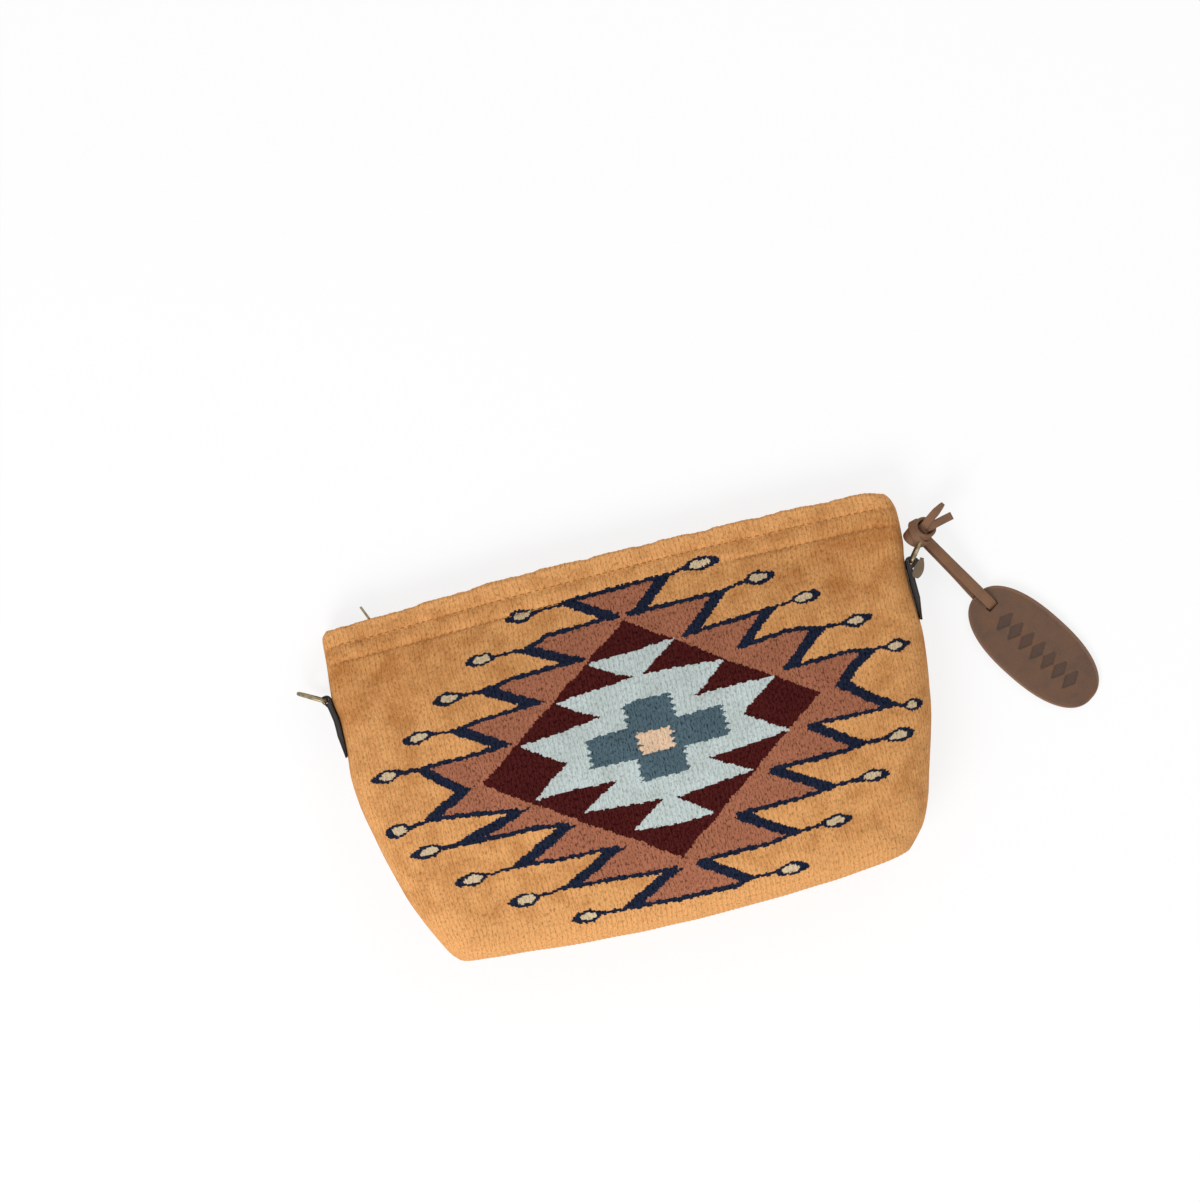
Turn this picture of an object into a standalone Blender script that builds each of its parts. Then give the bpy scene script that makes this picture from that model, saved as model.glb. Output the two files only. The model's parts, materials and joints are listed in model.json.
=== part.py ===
"""Zip-top clutch bag woven in wool tapestry, with D-rings and a leather hang tag.

The bag lies on its back panel. Metres: +X along the zip, +Y from the base to the zip, +Z out of
the front panel, and z = 0 is the surface that it lies on.
"""

import math

import bmesh
import bpy
from mathutils import Matrix, Vector

# Bag
TOP_WIDTH = 0.2535  # across the zip end, measured flat
BASE_WIDTH = 0.200  # across the boxed base
BAG_HEIGHT = 0.163  # base to zip edge
TOP_DEPTH = 0.018  # front to back at the zip
BASE_DEPTH = 0.050  # front to back at the base
WALL = 0.003  # woven wool
BASE_ROUND = 0.012  # turn from the front panel into the base
SIDE_ROUND_SHARE = 0.55  # reach of the side's turn, as a share of the depth there
BELLY_REACH = 0.075  # from the side inwards to where the front is at its full height
RIM_ROUND = 0.001
HEM_ROWS = (0.0082, 0.0160)  # stitched rows, below the zip edge
GROOVE_DEPTH = 0.0007
GROOVE_WIDTH = 0.0024
LINING = 0.0008
LINING_DROP = 0.0185  # lining's upper edge, below the zip edge
CLEARANCE = 0.0003

# Zip
ZIP_RECESS = 0.0085  # teeth below the zip edge
ZIP_END_GAP = 0.0085  # from the inside of the bag's side to the tape's end
TAPE_THICKNESS = 0.0008
TAPE_TURN_DOWN = 0.0095
TOOTH_PITCH = 0.0024
TOOTH_WIDTH = 0.0010
TOOTH_LENGTH = 0.0012
TOOTH_HEIGHT = 0.0022
CORD_WIDTH = 0.0014
ROW_GAP = 0.0010  # between the two rows of teeth, where the slider's divider runs
STOP_LENGTH = 0.0020
SLIDER_FROM_END = 0.0112  # tape's end to the slider's middle, closed
SLIDER_LENGTH = 0.011
SLIDER_PLATE = 0.0010
SLIDER_LIP = 0.0012
DIVIDER_WIDTH = 0.0007
BRIDGE_WIRE = 0.0011
BRIDGE_RISE = 0.0034
PULL_LENGTH = 0.0073  # from its pivot to its tip
PULL_WIDTH = 0.0066
PULL_THICKNESS = 0.0009
PULL_EYE = 0.0032
PULL_LEAN = math.radians(22.0)  # towards -X

# D-rings and their tabs
RING_WIRE = 0.0018
RING_WIDTH = 0.0160  # bar, centre to centre of the legs
RING_DEPTH = 0.0124  # bar to bow, centre to centre
TAB_WIDTH = 0.0124
TAB_LEATHER = 0.0012
LEFT_RING_Y = 0.045
RIGHT_RING_Y = 0.0405
LEFT_TAB_END_Y = 0.019
RIGHT_TAB_END_Y = 0.015
LEFT_RING_ANGLE = math.radians(150.5)
RIGHT_RING_ANGLE = math.radians(51.3)
TONGUE_LENGTH = 0.0055

# Hang tag and its thong
TAG_LENGTH = 0.068
TAG_WIDTH = 0.033
TAG_THICKNESS = 0.0022
TAG_EDGE = 0.0005
TAG_ANGLE = math.radians(-56.0)
TAG_OUT = 0.0355  # tag's middle from the ring's bow, to the right
TAG_DOWN = 0.0592  # and down
SLIT_FROM_END = 0.0085
THONG_WIDTH = 0.0055
THONG_THICKNESS = 0.0012
EYELET_TUBE = 0.0011
LOZENGES = 5
LOZENGE_DEPTH = 0.0005

# Colour fields of the tapestry, woven flush; here they are thin solids on the panel
FIELD_THICKNESS = 0.0005
FIELD_GAP = 0.3  # between fields, in millimetres of the drawing
THICK_LINE = 3.4
THIN_LINE = 1.7
STEM_LINE = 1.2

# The outline as drawn, in millimetres, before it is scaled to the sizes above
DRAWN_TOP_WIDTH = 253.5
DRAWN_BASE_WIDTH = 200.0
DRAWN_TOP = 77.0
DRAWN_BASE = -86.0
LEFT_EDGE = [
    (73.3, -122.5), (71.5, -123.5), (68, -123.9), (60, -124.5), (50, -125.5), (43, -125.8),
    (35, -124.6), (20, -125.0), (10, -125.8), (0, -125.2), (-10, -123.8), (-20, -122.0),
    (-30, -119.8), (-40, -117.0), (-50, -114.0), (-60, -110.0), (-70, -105.2), (-75, -102.4),
    (-78.2, -99.4),
]
RIGHT_EDGE = [
    (70.5, 131.0), (68, 132.0), (64, 132.8), (60, 133.0), (50, 132.5), (43, 131.3), (35, 130.8),
    (20, 130.9), (10, 131.0), (0, 130.0), (-10, 128.5), (-20, 126.5), (-30, 124.0), (-40, 121.2),
    (-50, 118.0), (-60, 114.8), (-70, 110.4), (-75, 106.6), (-79.2, 102.6),
]
TOP_EDGE = [
    (-122.5, 73.3), (-120.6, 74.7), (-117, 75.1), (-100, 75.2), (-70, 76.0), (-40, 76.8),
    (0, 77.0), (30, 77.0), (60, 76.4), (85, 75.7), (105, 75.0), (120, 74.2), (127, 73.1),
    (129.4, 72.0), (131.0, 70.5),
]
BASE_EDGE = [
    (-99.4, -78.2), (-97.4, -79.2), (-93, -80.0), (-70, -82.0), (-45, -84.2), (-20, -85.5),
    (0, -86.0), (25, -86.0), (50, -85.5), (72, -84.4), (88, -82.9), (97, -81.6), (100.8, -80.6),
    (102.6, -79.2),
]
# Rise from the depth at the zip to that at the base, against the share of the way down
SIDE_RISE = [
    (-0.1, 0.0), (0, 0), (0.1, 0.06), (0.2, 0.16), (0.4, 0.38), (0.6, 0.6), (0.8, 0.82), (1, 1),
]
FRONT_RISE = [
    (-0.1, 0.0), (0, 0), (0.06, 0.015), (0.1, 0.06), (0.2, 0.31), (0.3, 0.55), (0.45, 0.8),
    (0.6, 0.96), (0.75, 1.05), (0.9, 1.07), (1.0, 1.0),
]
SIDE_POWER = 2.5
BASE_POWER = 3.2

DIAMOND = [(6, 47), (-71.5, -7.5), (5, -59.6), (81, -5)]
STAR = [
    (-13, 31.2), (-3, 32.2), (24.4, 32.4), (8, 22), (43.6, 19.2), (28, 7.5), (62.4, 6.6),
    (46, -5.5), (62.6, -17), (27, -20.5), (43, -29.6), (9, -33.5), (23.4, -43.6), (5, -44.4),
    (-13, -43), (4, -33), (-31.4, -30), (-14, -20), (-50, -19.4), (-33, -7), (-50.4, 4.4),
    (-14, 8.5), (-31, 18.6), (-14, 20.8), (4, 22),
]
CROSS = [
    (-3.5, 11.5), (-3.5, 0.5), (-23, 0.5), (-23, -13), (-3.5, -13), (-3.5, -23.5), (18, -23.5),
    (18, -13), (38.5, -13), (38.5, 0.5), (18, 0.5), (18, 11.5),
]
CENTRE = [(-0.5, -2.5), (-0.5, -12), (14, -12), (14, -2.5)]
# Round the zigzag from its top tooth, anticlockwise: the edge of the terracotta field
ZIGZAG = [
    (-16, 61), (4, 49.4), (-28, 49), (-39, 45.5), (-17, 34.2), (-48, 34.5), (-60, 32.3),
    (-39.5, 21), (-65, 20.5), (-76, 18.5), (-57.5, 6.5), (-95, 5.5), (-80, -8), (-97, -16.5),
    (-70, -20), (-59, -21.8), (-85, -30.2), (-55, -31.5), (-39, -33.4), (-64.5, -45.7),
    (-45, -47), (-21, -48), (-45.5, -60), (-30, -61.5), (1, -62.8), (-23, -75), (0, -77),
    (25, -77), (31, -75.7), (11, -62.8), (45, -63), (56, -61.5), (32.8, -47.4), (66, -47),
    (75.5, -46), (52.4, -32), (85, -32), (93, -31.2), (73, -18), (98, -18), (110, -18), (91, -4),
    (106, 7.7), (98, 9.5), (68.6, 9.2), (88, 22.7), (75, 24.5), (51.5, 23), (69, 36.4),
    (45, 34.6), (30.8, 33.8), (50, 48.2), (30, 48.7), (9, 49.2), (28, 61.3),
]
THICK = [
    [(-16, 61), (4, 49.6)], [(-39, 45.5), (-17, 34.6)], [(-60, 32.3), (-39.6, 21.4)],
    [(-76, 18.5), (-57.8, 7)], [(-95, 5.5), (-80.6, -8), (-97, -16.5)], [(-59, -21.8), (-85, -30.2)],
    [(-39, -33.6), (-64.5, -45.7)], [(-21, -48.2), (-45.5, -60)], [(0.6, -63.6), (-23, -75)],
    [(11.4, -63.6), (31, -75.7)], [(33.2, -47.8), (56, -61.5)], [(52.8, -32.4), (75.5, -46)],
    [(73.6, -18.2), (93, -31.2)], [(106, 7.7), (91.4, -4), (110, -18)], [(68.8, 9.6), (88, 22.7)],
    [(51.6, 23.4), (69, 36.4)], [(31, 34.2), (50, 48.2)], [(9, 49.6), (28, 61.3)],
]
THIN = [
    [(-16, 61.2), (28, 61.3)], [(4, 49.6), (-28, 49), (-39, 45.5)], [(-17, 34.6), (-48, 34.5), (-60, 32.3)],
    [(-39.5, 21.2), (-65, 20.5), (-76, 18.5)], [(-57.5, 6.6), (-105, 6.3)],
    [(-97, -16.5), (-70, -20), (-59, -21.8)], [(-85, -30.2), (-55, -31.5), (-39, -33.6)],
    [(-64.5, -45.7), (-45, -47), (-21, -48.2)], [(-45.5, -60), (-30, -61.5), (1, -63.6)],
    [(-23, -75), (0, -77), (25, -77), (31, -75.7)], [(11, -63.6), (45, -63), (56, -61.5)],
    [(33, -47.8), (66, -47), (75.5, -46)], [(52.4, -32.4), (85, -32), (93, -31.2)],
    [(73, -18), (98, -18), (110, -18)], [(68.8, 9.4), (98, 9.5), (106, 7.7)],
    [(51.6, 23.2), (75, 24.5), (88, 22.7)], [(31, 34), (45, 34.8), (69, 36.4)],
    [(9, 49.4), (30, 48.7), (50, 48.2)],
]
# Each eye: its centre, half length and half height, and where its stem starts
EYES = [
    (-37, 59.5, 6.5, 2.7, (-16, 61)), (-59, 45.5, 6.5, 2.7, (-39, 45.5)),
    (-77, 32.5, 6.5, 2.7, (-60, 32.3)), (-93.5, 19.2, 6.5, 2.7, (-76, 18.5)),
    (-111, 6.4, 6.2, 2.7, (-100, 6.3)), (-112.5, -17.5, 5.0, 3.0, (-97, -16.5)),
    (-102, -30, 6.5, 2.8, (-85, -30.2)), (-86.5, -46, 6.5, 2.8, (-64.5, -45.7)),
    (-66.5, -60.5, 6.5, 2.8, (-45.5, -60)), (-41.5, -74.4, 6.5, 2.6, (-23, -75)),
    (50, -76.4, 6.5, 2.6, (31, -75.7)), (74, -61, 6.5, 2.7, (56, -61.5)),
    (94.5, -46, 6.5, 2.7, (75.5, -46)), (110.5, -31.6, 6.0, 2.7, (93, -31.2)),
    (119.6, -20.2, 3.6, 2.7, (110, -18)), (119, 6.8, 5.0, 2.7, (106, 7.7)),
    (104.5, 21.7, 6.2, 2.7, (88, 22.7)), (85.5, 37, 6.5, 2.7, (69, 36.4)),
    (67.5, 50.3, 6.5, 2.7, (50, 48.2)), (45, 62.8, 7.5, 2.7, (28, 61.3)),
]
EYE_RIM = 1.1

FRONT, BACK = 1, -1
WOOL = {
    "ochre": (0.62, 0.29, 0.08), "terracotta": (0.37, 0.13, 0.08), "maroon": (0.07, 0.006, 0.008),
    "pale_blue": (0.48, 0.58, 0.56), "slate": (0.08, 0.13, 0.17), "peach": (0.74, 0.46, 0.25),
    "navy": (0.010, 0.016, 0.04), "cream": (0.72, 0.63, 0.52),
}
BROWN_LEATHER = (0.15, 0.08, 0.05)
BLACK_LEATHER = (0.025, 0.018, 0.014)
BRASS = (0.33, 0.28, 0.20)
TAPE_CLOTH = (0.36, 0.20, 0.09)
LINING_CLOTH = (0.30, 0.26, 0.20)


def smooth(table, at):
    """A cubic through the table's (place, value) pairs, level beyond its ends."""
    step = 1 if table[-1][0] > table[0][0] else -1
    if (at - table[0][0]) * step <= 0:
        return table[0][1]
    for i in range(len(table) - 1):
        (x0, y0), (x1, y1) = table[i], table[i + 1]
        if (at - x1) * step <= 0:
            before = table[max(i - 1, 0)]
            after = table[min(i + 2, len(table) - 1)]
            slope0 = (y1 - before[1]) / (x1 - before[0])
            slope1 = (after[1] - y0) / (after[0] - x0)
            width = x1 - x0
            t = (at - x0) / width
            return (
                y0 * (1 + 2 * t) * (1 - t) ** 2
                + slope0 * width * t * (1 - t) ** 2
                + y1 * t * t * (3 - 2 * t)
                - slope1 * width * t * t * (1 - t)
            )
    return table[-1][1]


def drawn(x, y):
    """A point of the drawing at the bag's real size."""
    down = (DRAWN_TOP - y) / (DRAWN_TOP - DRAWN_BASE)
    widen = TOP_WIDTH / DRAWN_TOP_WIDTH * (1 - down) + BASE_WIDTH / DRAWN_BASE_WIDTH * down
    return x * widen, y * BAG_HEIGHT / (DRAWN_TOP - DRAWN_BASE)


def on_paper(y):
    """The height in the drawing, in millimetres, of a real height."""
    return y * (DRAWN_TOP - DRAWN_BASE) / BAG_HEIGHT


TOP_Y = drawn(0, DRAWN_TOP)[1]
BASE_Y = drawn(0, DRAWN_BASE)[1]
ZIP_Y = TOP_Y - ZIP_RECESS
ZIP_Z = TOP_DEPTH / 2


def side_x(y, edge):
    paper = on_paper(y)
    return drawn(smooth(edge, paper), paper)[0]


ZIP_LEFT = side_x(ZIP_Y, LEFT_EDGE) + WALL + ZIP_END_GAP
ZIP_RIGHT = side_x(ZIP_Y, RIGHT_EDGE) - WALL - ZIP_END_GAP
SLIDER_X = ZIP_LEFT + SLIDER_FROM_END


def patch(u, v):
    """The bag's outline filled in: u from left to right, v from the zip edge to the base."""

    def side(edge, t):
        y = edge[0][0] + (edge[-1][0] - edge[0][0]) * t
        return smooth(edge, y), y

    def end(edge, t):
        x = edge[0][0] + (edge[-1][0] - edge[0][0]) * t
        return x, smooth(edge, x)

    sides = side(LEFT_EDGE, v), side(RIGHT_EDGE, v)
    ends = end(TOP_EDGE, u), end(BASE_EDGE, u)
    corners = TOP_EDGE[0], TOP_EDGE[-1], BASE_EDGE[0], BASE_EDGE[-1]
    across = [sides[0][k] * (1 - u) + sides[1][k] * u for k in (0, 1)]
    along = [ends[0][k] * (1 - v) + ends[1][k] * v for k in (0, 1)]
    both = [
        (corners[0][k] * (1 - u) + corners[1][k] * u) * (1 - v)
        + (corners[2][k] * (1 - u) + corners[3][k] * u) * v
        for k in (0, 1)
    ]
    return drawn(across[0] + along[0] - both[0], across[1] + along[1] - both[1])


def side_depth(down):
    return TOP_DEPTH + (BASE_DEPTH - TOP_DEPTH) * smooth(SIDE_RISE, down)


def middle_z(y):
    """Half way between front and back, at the bag's sides."""
    return side_depth((TOP_Y - y) / BAG_HEIGHT) / 2


def turn(angle, power):
    """How far in, and how far up, a turn has come: both run from 0 to 1."""
    return (
        1 - max(math.cos(angle), 0.0) ** (2 / power),
        max(math.sin(angle), 0.0) ** (2 / power),
    )


def groove(down):
    for row in HEM_ROWS:
        if abs(down * BAG_HEIGHT - row) < GROOVE_WIDTH * 0.3:
            return GROOVE_DEPTH
    return 0.0


def panel(facing, rows, columns, inset=0.0, lift=0.0, hem=False):
    """A grid of points over the front or back of the bag.

    A row is a share of the height, or ("base", angle) within the turn into the base. A column is
    a share of the flat width, or ("left" or "right", angle) within a side's turn.
    """
    grid = []
    for row in rows:
        if isinstance(row, tuple):
            in_by, rise_end = turn(row[1], BASE_POWER)
            down = 1 - (inset + BASE_ROUND * in_by) / BAG_HEIGHT
        else:
            down, rise_end = row, 1.0
        left, right = patch(0, down)[0], patch(1, down)[0]
        width = right - left
        depth = side_depth(down)
        crown = TOP_DEPTH + (BASE_DEPTH - TOP_DEPTH) * smooth(FRONT_RISE, down) - depth
        reach = SIDE_ROUND_SHARE * depth
        line = []
        for column in columns:
            if isinstance(column, tuple):
                share, rise_side = turn(column[1], SIDE_POWER)
                from_side = inset + (reach - inset) * share
                if column[0] == "right":
                    from_side = width - from_side
            else:
                rise_side = 1.0
                from_side = reach + (width - 2 * reach) * column
            x, y = patch(from_side / width, down)
            nearest = (min(from_side, width - from_side) - inset) / BELLY_REACH
            belly = min(nearest, 1.0) ** 2 * (3 - 2 * min(nearest, 1.0))
            sink = inset + (groove(down) if hem else 0.0)
            if hem and down <= 0:
                sink = RIM_ROUND
            half = (depth / 2 - sink) * rise_side
            up = half + crown * belly if facing == FRONT else -half
            line.append(Vector((x, y, depth / 2 + up * rise_end + lift)))
        grid.append(line)
    return grid


def turn_angles(count):
    return [math.pi / 2 * i / count for i in range(count)]


def column_list(flat, turned):
    angles = turn_angles(turned)
    middle = [i / flat for i in range(flat + 1)]
    return [("left", a) for a in angles] + middle + [("right", a) for a in reversed(angles)]


def row_list(paper_rows, turned):
    flat = [(DRAWN_TOP - y) / (DRAWN_TOP - DRAWN_BASE) for y in paper_rows]
    return flat + [("base", a) for a in reversed(turn_angles(turned) + [math.pi / 2])]


def hem_rows():
    half = GROOVE_WIDTH / 2 / BAG_HEIGHT
    return [row / BAG_HEIGHT + step for row in HEM_ROWS for step in (-half, 0.0, half)]


FINE_COLUMNS = column_list(22, 5)
FINE_ROWS = sorted([0.0, 0.011] + hem_rows()) + row_list(
    [54, 46, 38, 30, 22, 13, 4, -5, -14, -23, -32, -41, -50, -58, -65], 5
)
PLAIN_COLUMNS = column_list(14, 4)
PLAIN_ROWS = row_list([48, 38, 26, 12, -4, -20, -36, -52], 4)
LINING_TOP = LINING_DROP / BAG_HEIGHT


def linear_colour(obj, name, colour, roughness, metallic=0.0):
    material = bpy.data.materials.new(name)
    material.use_nodes = True
    shader = material.node_tree.nodes["Principled BSDF"]
    shader.inputs["Base Color"].default_value = (*colour, 1.0)
    shader.inputs["Roughness"].default_value = roughness
    shader.inputs["Metallic"].default_value = metallic
    obj.data.materials.clear()
    obj.data.materials.append(material)


def object_of(name, points, faces):
    """A mesh object whose normals face out, with doubled points joined."""
    mesh = bpy.data.meshes.new(name)
    mesh.from_pydata([tuple(p) for p in points], [], faces)
    work = bmesh.new()
    work.from_mesh(mesh)
    bmesh.ops.remove_doubles(work, verts=work.verts, dist=2e-6)
    bmesh.ops.dissolve_degenerate(work, edges=work.edges, dist=1e-6)
    bmesh.ops.recalc_face_normals(work, faces=work.faces)
    bmesh.ops.triangulate(work, faces=work.faces)
    work.to_mesh(mesh)
    work.free()
    obj = bpy.data.objects.new(name, mesh)
    bpy.context.collection.objects.link(obj)
    return obj


def combine(obj, cutter, operation, own_overlaps=False):
    """Applies a Boolean and removes the other object."""
    modifier = obj.modifiers.new(operation, "BOOLEAN")
    modifier.operation = operation
    modifier.solver = "EXACT"
    modifier.use_self = own_overlaps
    modifier.object = cutter
    bpy.context.view_layer.update()
    graph = bpy.context.evaluated_depsgraph_get()
    result = bpy.data.meshes.new_from_object(obj.evaluated_get(graph))
    obj.modifiers.clear()
    obj.data = result
    bpy.data.objects.remove(cutter)
    return obj


class Solid:
    """Collects points and faces, then becomes an object."""

    def __init__(self):
        self.points = []
        self.faces = []

    def sheet(self, grid):
        base = len(self.points)
        wide = len(grid[0])
        self.points += [p for line in grid for p in line]
        for i in range(len(grid) - 1):
            for j in range(wide - 1):
                a = base + i * wide + j
                b, c, d = a + 1, a + wide, a + wide + 1
                if j < (wide - 1) / 2:
                    self.faces += [(a, b, c), (b, d, c)]
                else:
                    self.faces += [(a, b, d), (a, d, c)]

    def strip(self, first, second, closed=False):
        """Joins two lines of points, with the same count, by a band of faces."""
        base = len(self.points)
        count = len(first)
        self.points += list(first) + list(second)
        for i in range(count if closed else count - 1):
            j = (i + 1) % count
            across = base + count + j
            self.faces += [(base + i, base + j, across), (base + i, across, base + count + i)]

    def cap(self, ring):
        base = len(self.points)
        self.points += list(ring)
        self.faces.append(tuple(range(base, base + len(ring))))

    def stack(self, rings):
        """A closed solid through rings of points, capped at both ends."""
        for first, second in zip(rings, rings[1:]):
            self.strip(first, second, closed=True)
        self.cap(rings[0])
        self.cap(rings[-1])
        return self

    def object(self, name):
        return object_of(name, self.points, self.faces)


def prism(name, outline, low, high, place=None):
    """An outline pushed along its third direction; place turns (a, b, height) into a point."""
    place = place or (lambda a, b, h: Vector((a, b, h)))
    rings = [[place(a, b, h) for a, b in outline] for h in (low, high)]
    return Solid().stack(rings).object(name)


def box(name, low, high):
    outline = [(low[0], low[1]), (high[0], low[1]), (high[0], high[1]), (low[0], high[1])]
    return prism(name, outline, low[2], high[2])


def sweep(name, path, section, up, closed=False):
    """A section of (side, up) offsets carried along a path of points."""
    solid = Solid()
    rings = []
    count = len(path)
    for i, point in enumerate(path):
        before = path[(i - 1) % count] if closed or i else path[i]
        after = path[(i + 1) % count] if closed or i < count - 1 else path[i]
        ahead = (after - before).normalized()
        side = ahead.cross(up).normalized()
        over = side.cross(ahead)
        rings.append([point + side * a + over * b for a, b in section])
    if closed:
        for i in range(count):
            solid.strip(rings[i], rings[(i + 1) % count], closed=True)
    else:
        solid.stack(rings)
    return solid.object(name)


def circle(radius, sides, centre=(0.0, 0.0)):
    return [
        (
            centre[0] + radius * math.cos(2 * math.pi * i / sides),
            centre[1] + radius * math.sin(2 * math.pi * i / sides),
        )
        for i in range(sides)
    ]


def strap_section(width, thickness, corner=0.0004):
    w, t, c = width / 2, thickness / 2, corner
    return [
        (-w, -t + c), (-w + c, -t), (w - c, -t), (w, -t + c), (w, t - c), (w - c, t), (-w + c, t),
        (-w, t - c),
    ]


def curve_through(controls, steps):
    """Points of a smooth curve through the control points."""
    points = []
    last = len(controls) - 1
    for i in range(last):
        p0, p1, p2, p3 = (controls[min(max(i + k, 0), last)] for k in (-1, 0, 1, 2))
        for step in range(steps):
            t = step / steps
            points.append(
                0.5
                * (
                    2 * p1
                    + (p2 - p0) * t
                    + (2 * p0 - 5 * p1 + 4 * p2 - p3) * t * t
                    + (3 * p1 - p0 - 3 * p2 + p3) * t**3
                )
            )
    return points + [controls[-1]]


def woven_shell():
    """Front, back and base: one woven piece, hollow, open along the zip."""
    shell = Solid()
    front = panel(FRONT, FINE_ROWS, FINE_COLUMNS, hem=True)
    back = panel(BACK, FINE_ROWS, FINE_COLUMNS, hem=True)
    shell.sheet(front)
    shell.sheet(back)
    shell.strip(front[0], back[0])
    shell = shell.object("woven_shell")
    hollow = Solid()
    rows = [-0.06, 0.05, LINING_TOP] + PLAIN_ROWS
    front, back = (panel(facing, rows, PLAIN_COLUMNS, inset=WALL) for facing in (FRONT, BACK))
    hollow.sheet(front)
    hollow.sheet(back)
    hollow.strip(front[0], back[0])
    return combine(shell, hollow.object("hollow"), "DIFFERENCE")


def lining():
    cloth = Solid()
    rows = [LINING_TOP] + PLAIN_ROWS
    for facing in (FRONT, BACK):
        outer = panel(facing, rows, PLAIN_COLUMNS, inset=WALL + CLEARANCE)
        inner = panel(facing, rows, PLAIN_COLUMNS, inset=WALL + CLEARANCE + LINING)
        cloth.sheet(outer)
        cloth.sheet(inner)
        cloth.strip(outer[0], inner[0])
    return cloth.object("lining")


def moved(outline, out_by):
    """An outline with every side moved out by a distance."""
    result = []
    count = len(outline)
    before = [outline[-1]] + outline[:-1]
    area = sum(a[0] * b[1] - b[0] * a[1] for a, b in zip(before, outline))
    out_by = math.copysign(1, area) * out_by
    for i in range(count):
        (x0, y0), (x1, y1), (x2, y2) = outline[i - 1], outline[i], outline[(i + 1) % count]
        a, b = Vector((y1 - y0, x0 - x1)).normalized(), Vector((y2 - y1, x1 - x2)).normalized()
        bisector = (a + b).normalized()
        reach = out_by / max(bisector.dot(a), 0.45)
        result.append((x1 + bisector.x * reach, y1 + bisector.y * reach))
    return result


def line_outline(points, width):
    """The outline of a line of some width, with square ends."""
    left, right = [], []
    for i, point in enumerate(points):
        here = Vector(point)
        into = (here - Vector(points[i - 1])).normalized() if i else None
        out = (Vector(points[i + 1]) - here).normalized() if i < len(points) - 1 else None
        along = ((into or out) + (out or into)).normalized()
        stretch = 1 / max(along.dot(into or out), 0.5)
        across = Vector((-along.y, along.x)) * width / 2 * stretch
        end = along * (width * 0.35) if into is None or out is None else Vector((0, 0))
        here = here - end if into is None else here + end
        left.append(tuple(here + across))
        right.append(tuple(here - across))
    return right + left[::-1]


def oval(x, y, long, high, sides=10):
    return [
        (x + long * math.cos(2 * math.pi * i / sides), y + high * math.sin(2 * math.pi * i / sides))
        for i in range(sides)
    ]


def drawn_prisms(name, outlines):
    """Upright prisms over outlines of the drawing, all in one object."""
    solid = Solid()
    for outline in outlines:
        flat = [drawn(x, y) for x, y in outline]
        rings = [[Vector((x, y, z)) for x, y in flat] for z in (0.001, BASE_DEPTH * 2)]
        solid.stack(rings)
    return solid.object(name)


def field_skin():
    """The layer over the front panel that the colour fields are cut from."""
    skin = Solid()
    rows, columns = FINE_ROWS[3:-2], FINE_COLUMNS[1:-1]
    under, over = (
        panel(FRONT, rows, columns, hem=True, lift=CLEARANCE + extra) for extra in (0.0, FIELD_THICKNESS)
    )
    skin.sheet(under)
    skin.sheet(over)
    skin.strip(under[0], over[0])
    skin.strip(under[-1], over[-1])
    skin.strip([line[0] for line in under], [line[0] for line in over])
    skin.strip([line[-1] for line in under], [line[-1] for line in over])
    return skin.object("skin")


def field(name, outlines, holes=(), own_overlaps=False):
    part = combine(field_skin(), drawn_prisms("keep", outlines), "INTERSECT", own_overlaps)
    if holes:
        part = combine(part, drawn_prisms("drop", holes), "DIFFERENCE", own_overlaps)
    part.name = part.data.name = name
    return part


def colour_fields():
    half = FIELD_GAP / 2
    lines = (
        [line_outline(points, THICK_LINE) for points in THICK]
        + [line_outline(points, THIN_LINE) for points in THIN]
        + [line_outline([start, (x - math.copysign(long - 1.0, x - start[0]), y)], STEM_LINE)
           for x, y, long, high, start in EYES]
    )
    wider = (
        [line_outline(points, THICK_LINE + FIELD_GAP) for points in THICK]
        + [line_outline(points, THIN_LINE + FIELD_GAP) for points in THIN]
    )
    rings = [oval(x, y, long, high) for x, y, long, high, start in EYES]
    pupils = [(x, y, long - EYE_RIM * 1.6, high - EYE_RIM) for x, y, long, high, start in EYES]
    fields = {
        "motif_navy_zigzag": (
            "navy",
            field("navy", lines + rings, [oval(x, y, a + half, b + half) for x, y, a, b in pupils], True),
        ),
        "motif_terracotta": (
            "terracotta",
            field("terracotta", [moved(ZIGZAG, -half)], [moved(DIAMOND, half)] + wider, True),
        ),
        "motif_maroon_diamond": ("maroon", field("maroon", [moved(DIAMOND, -half)], [moved(STAR, half)])),
        "motif_pale_blue_star": ("pale_blue", field("pale", [moved(STAR, -half)], [moved(CROSS, half)])),
        "motif_slate_cross": ("slate", field("slate", [moved(CROSS, -half)], [moved(CENTRE, half)])),
        "motif_peach_square": ("peach", field("peach", [moved(CENTRE, -half)])),
    }
    for number, (x, y, a, b) in enumerate(pupils, 1):
        name = f"motif_eye_{number:02d}"
        fields[name] = ("cream", field(name, [oval(x, y, a, b)]))
    for name, (colour, obj) in fields.items():
        obj.name = obj.data.name = name
        linear_colour(obj, name, WOOL[colour], 0.95)


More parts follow.
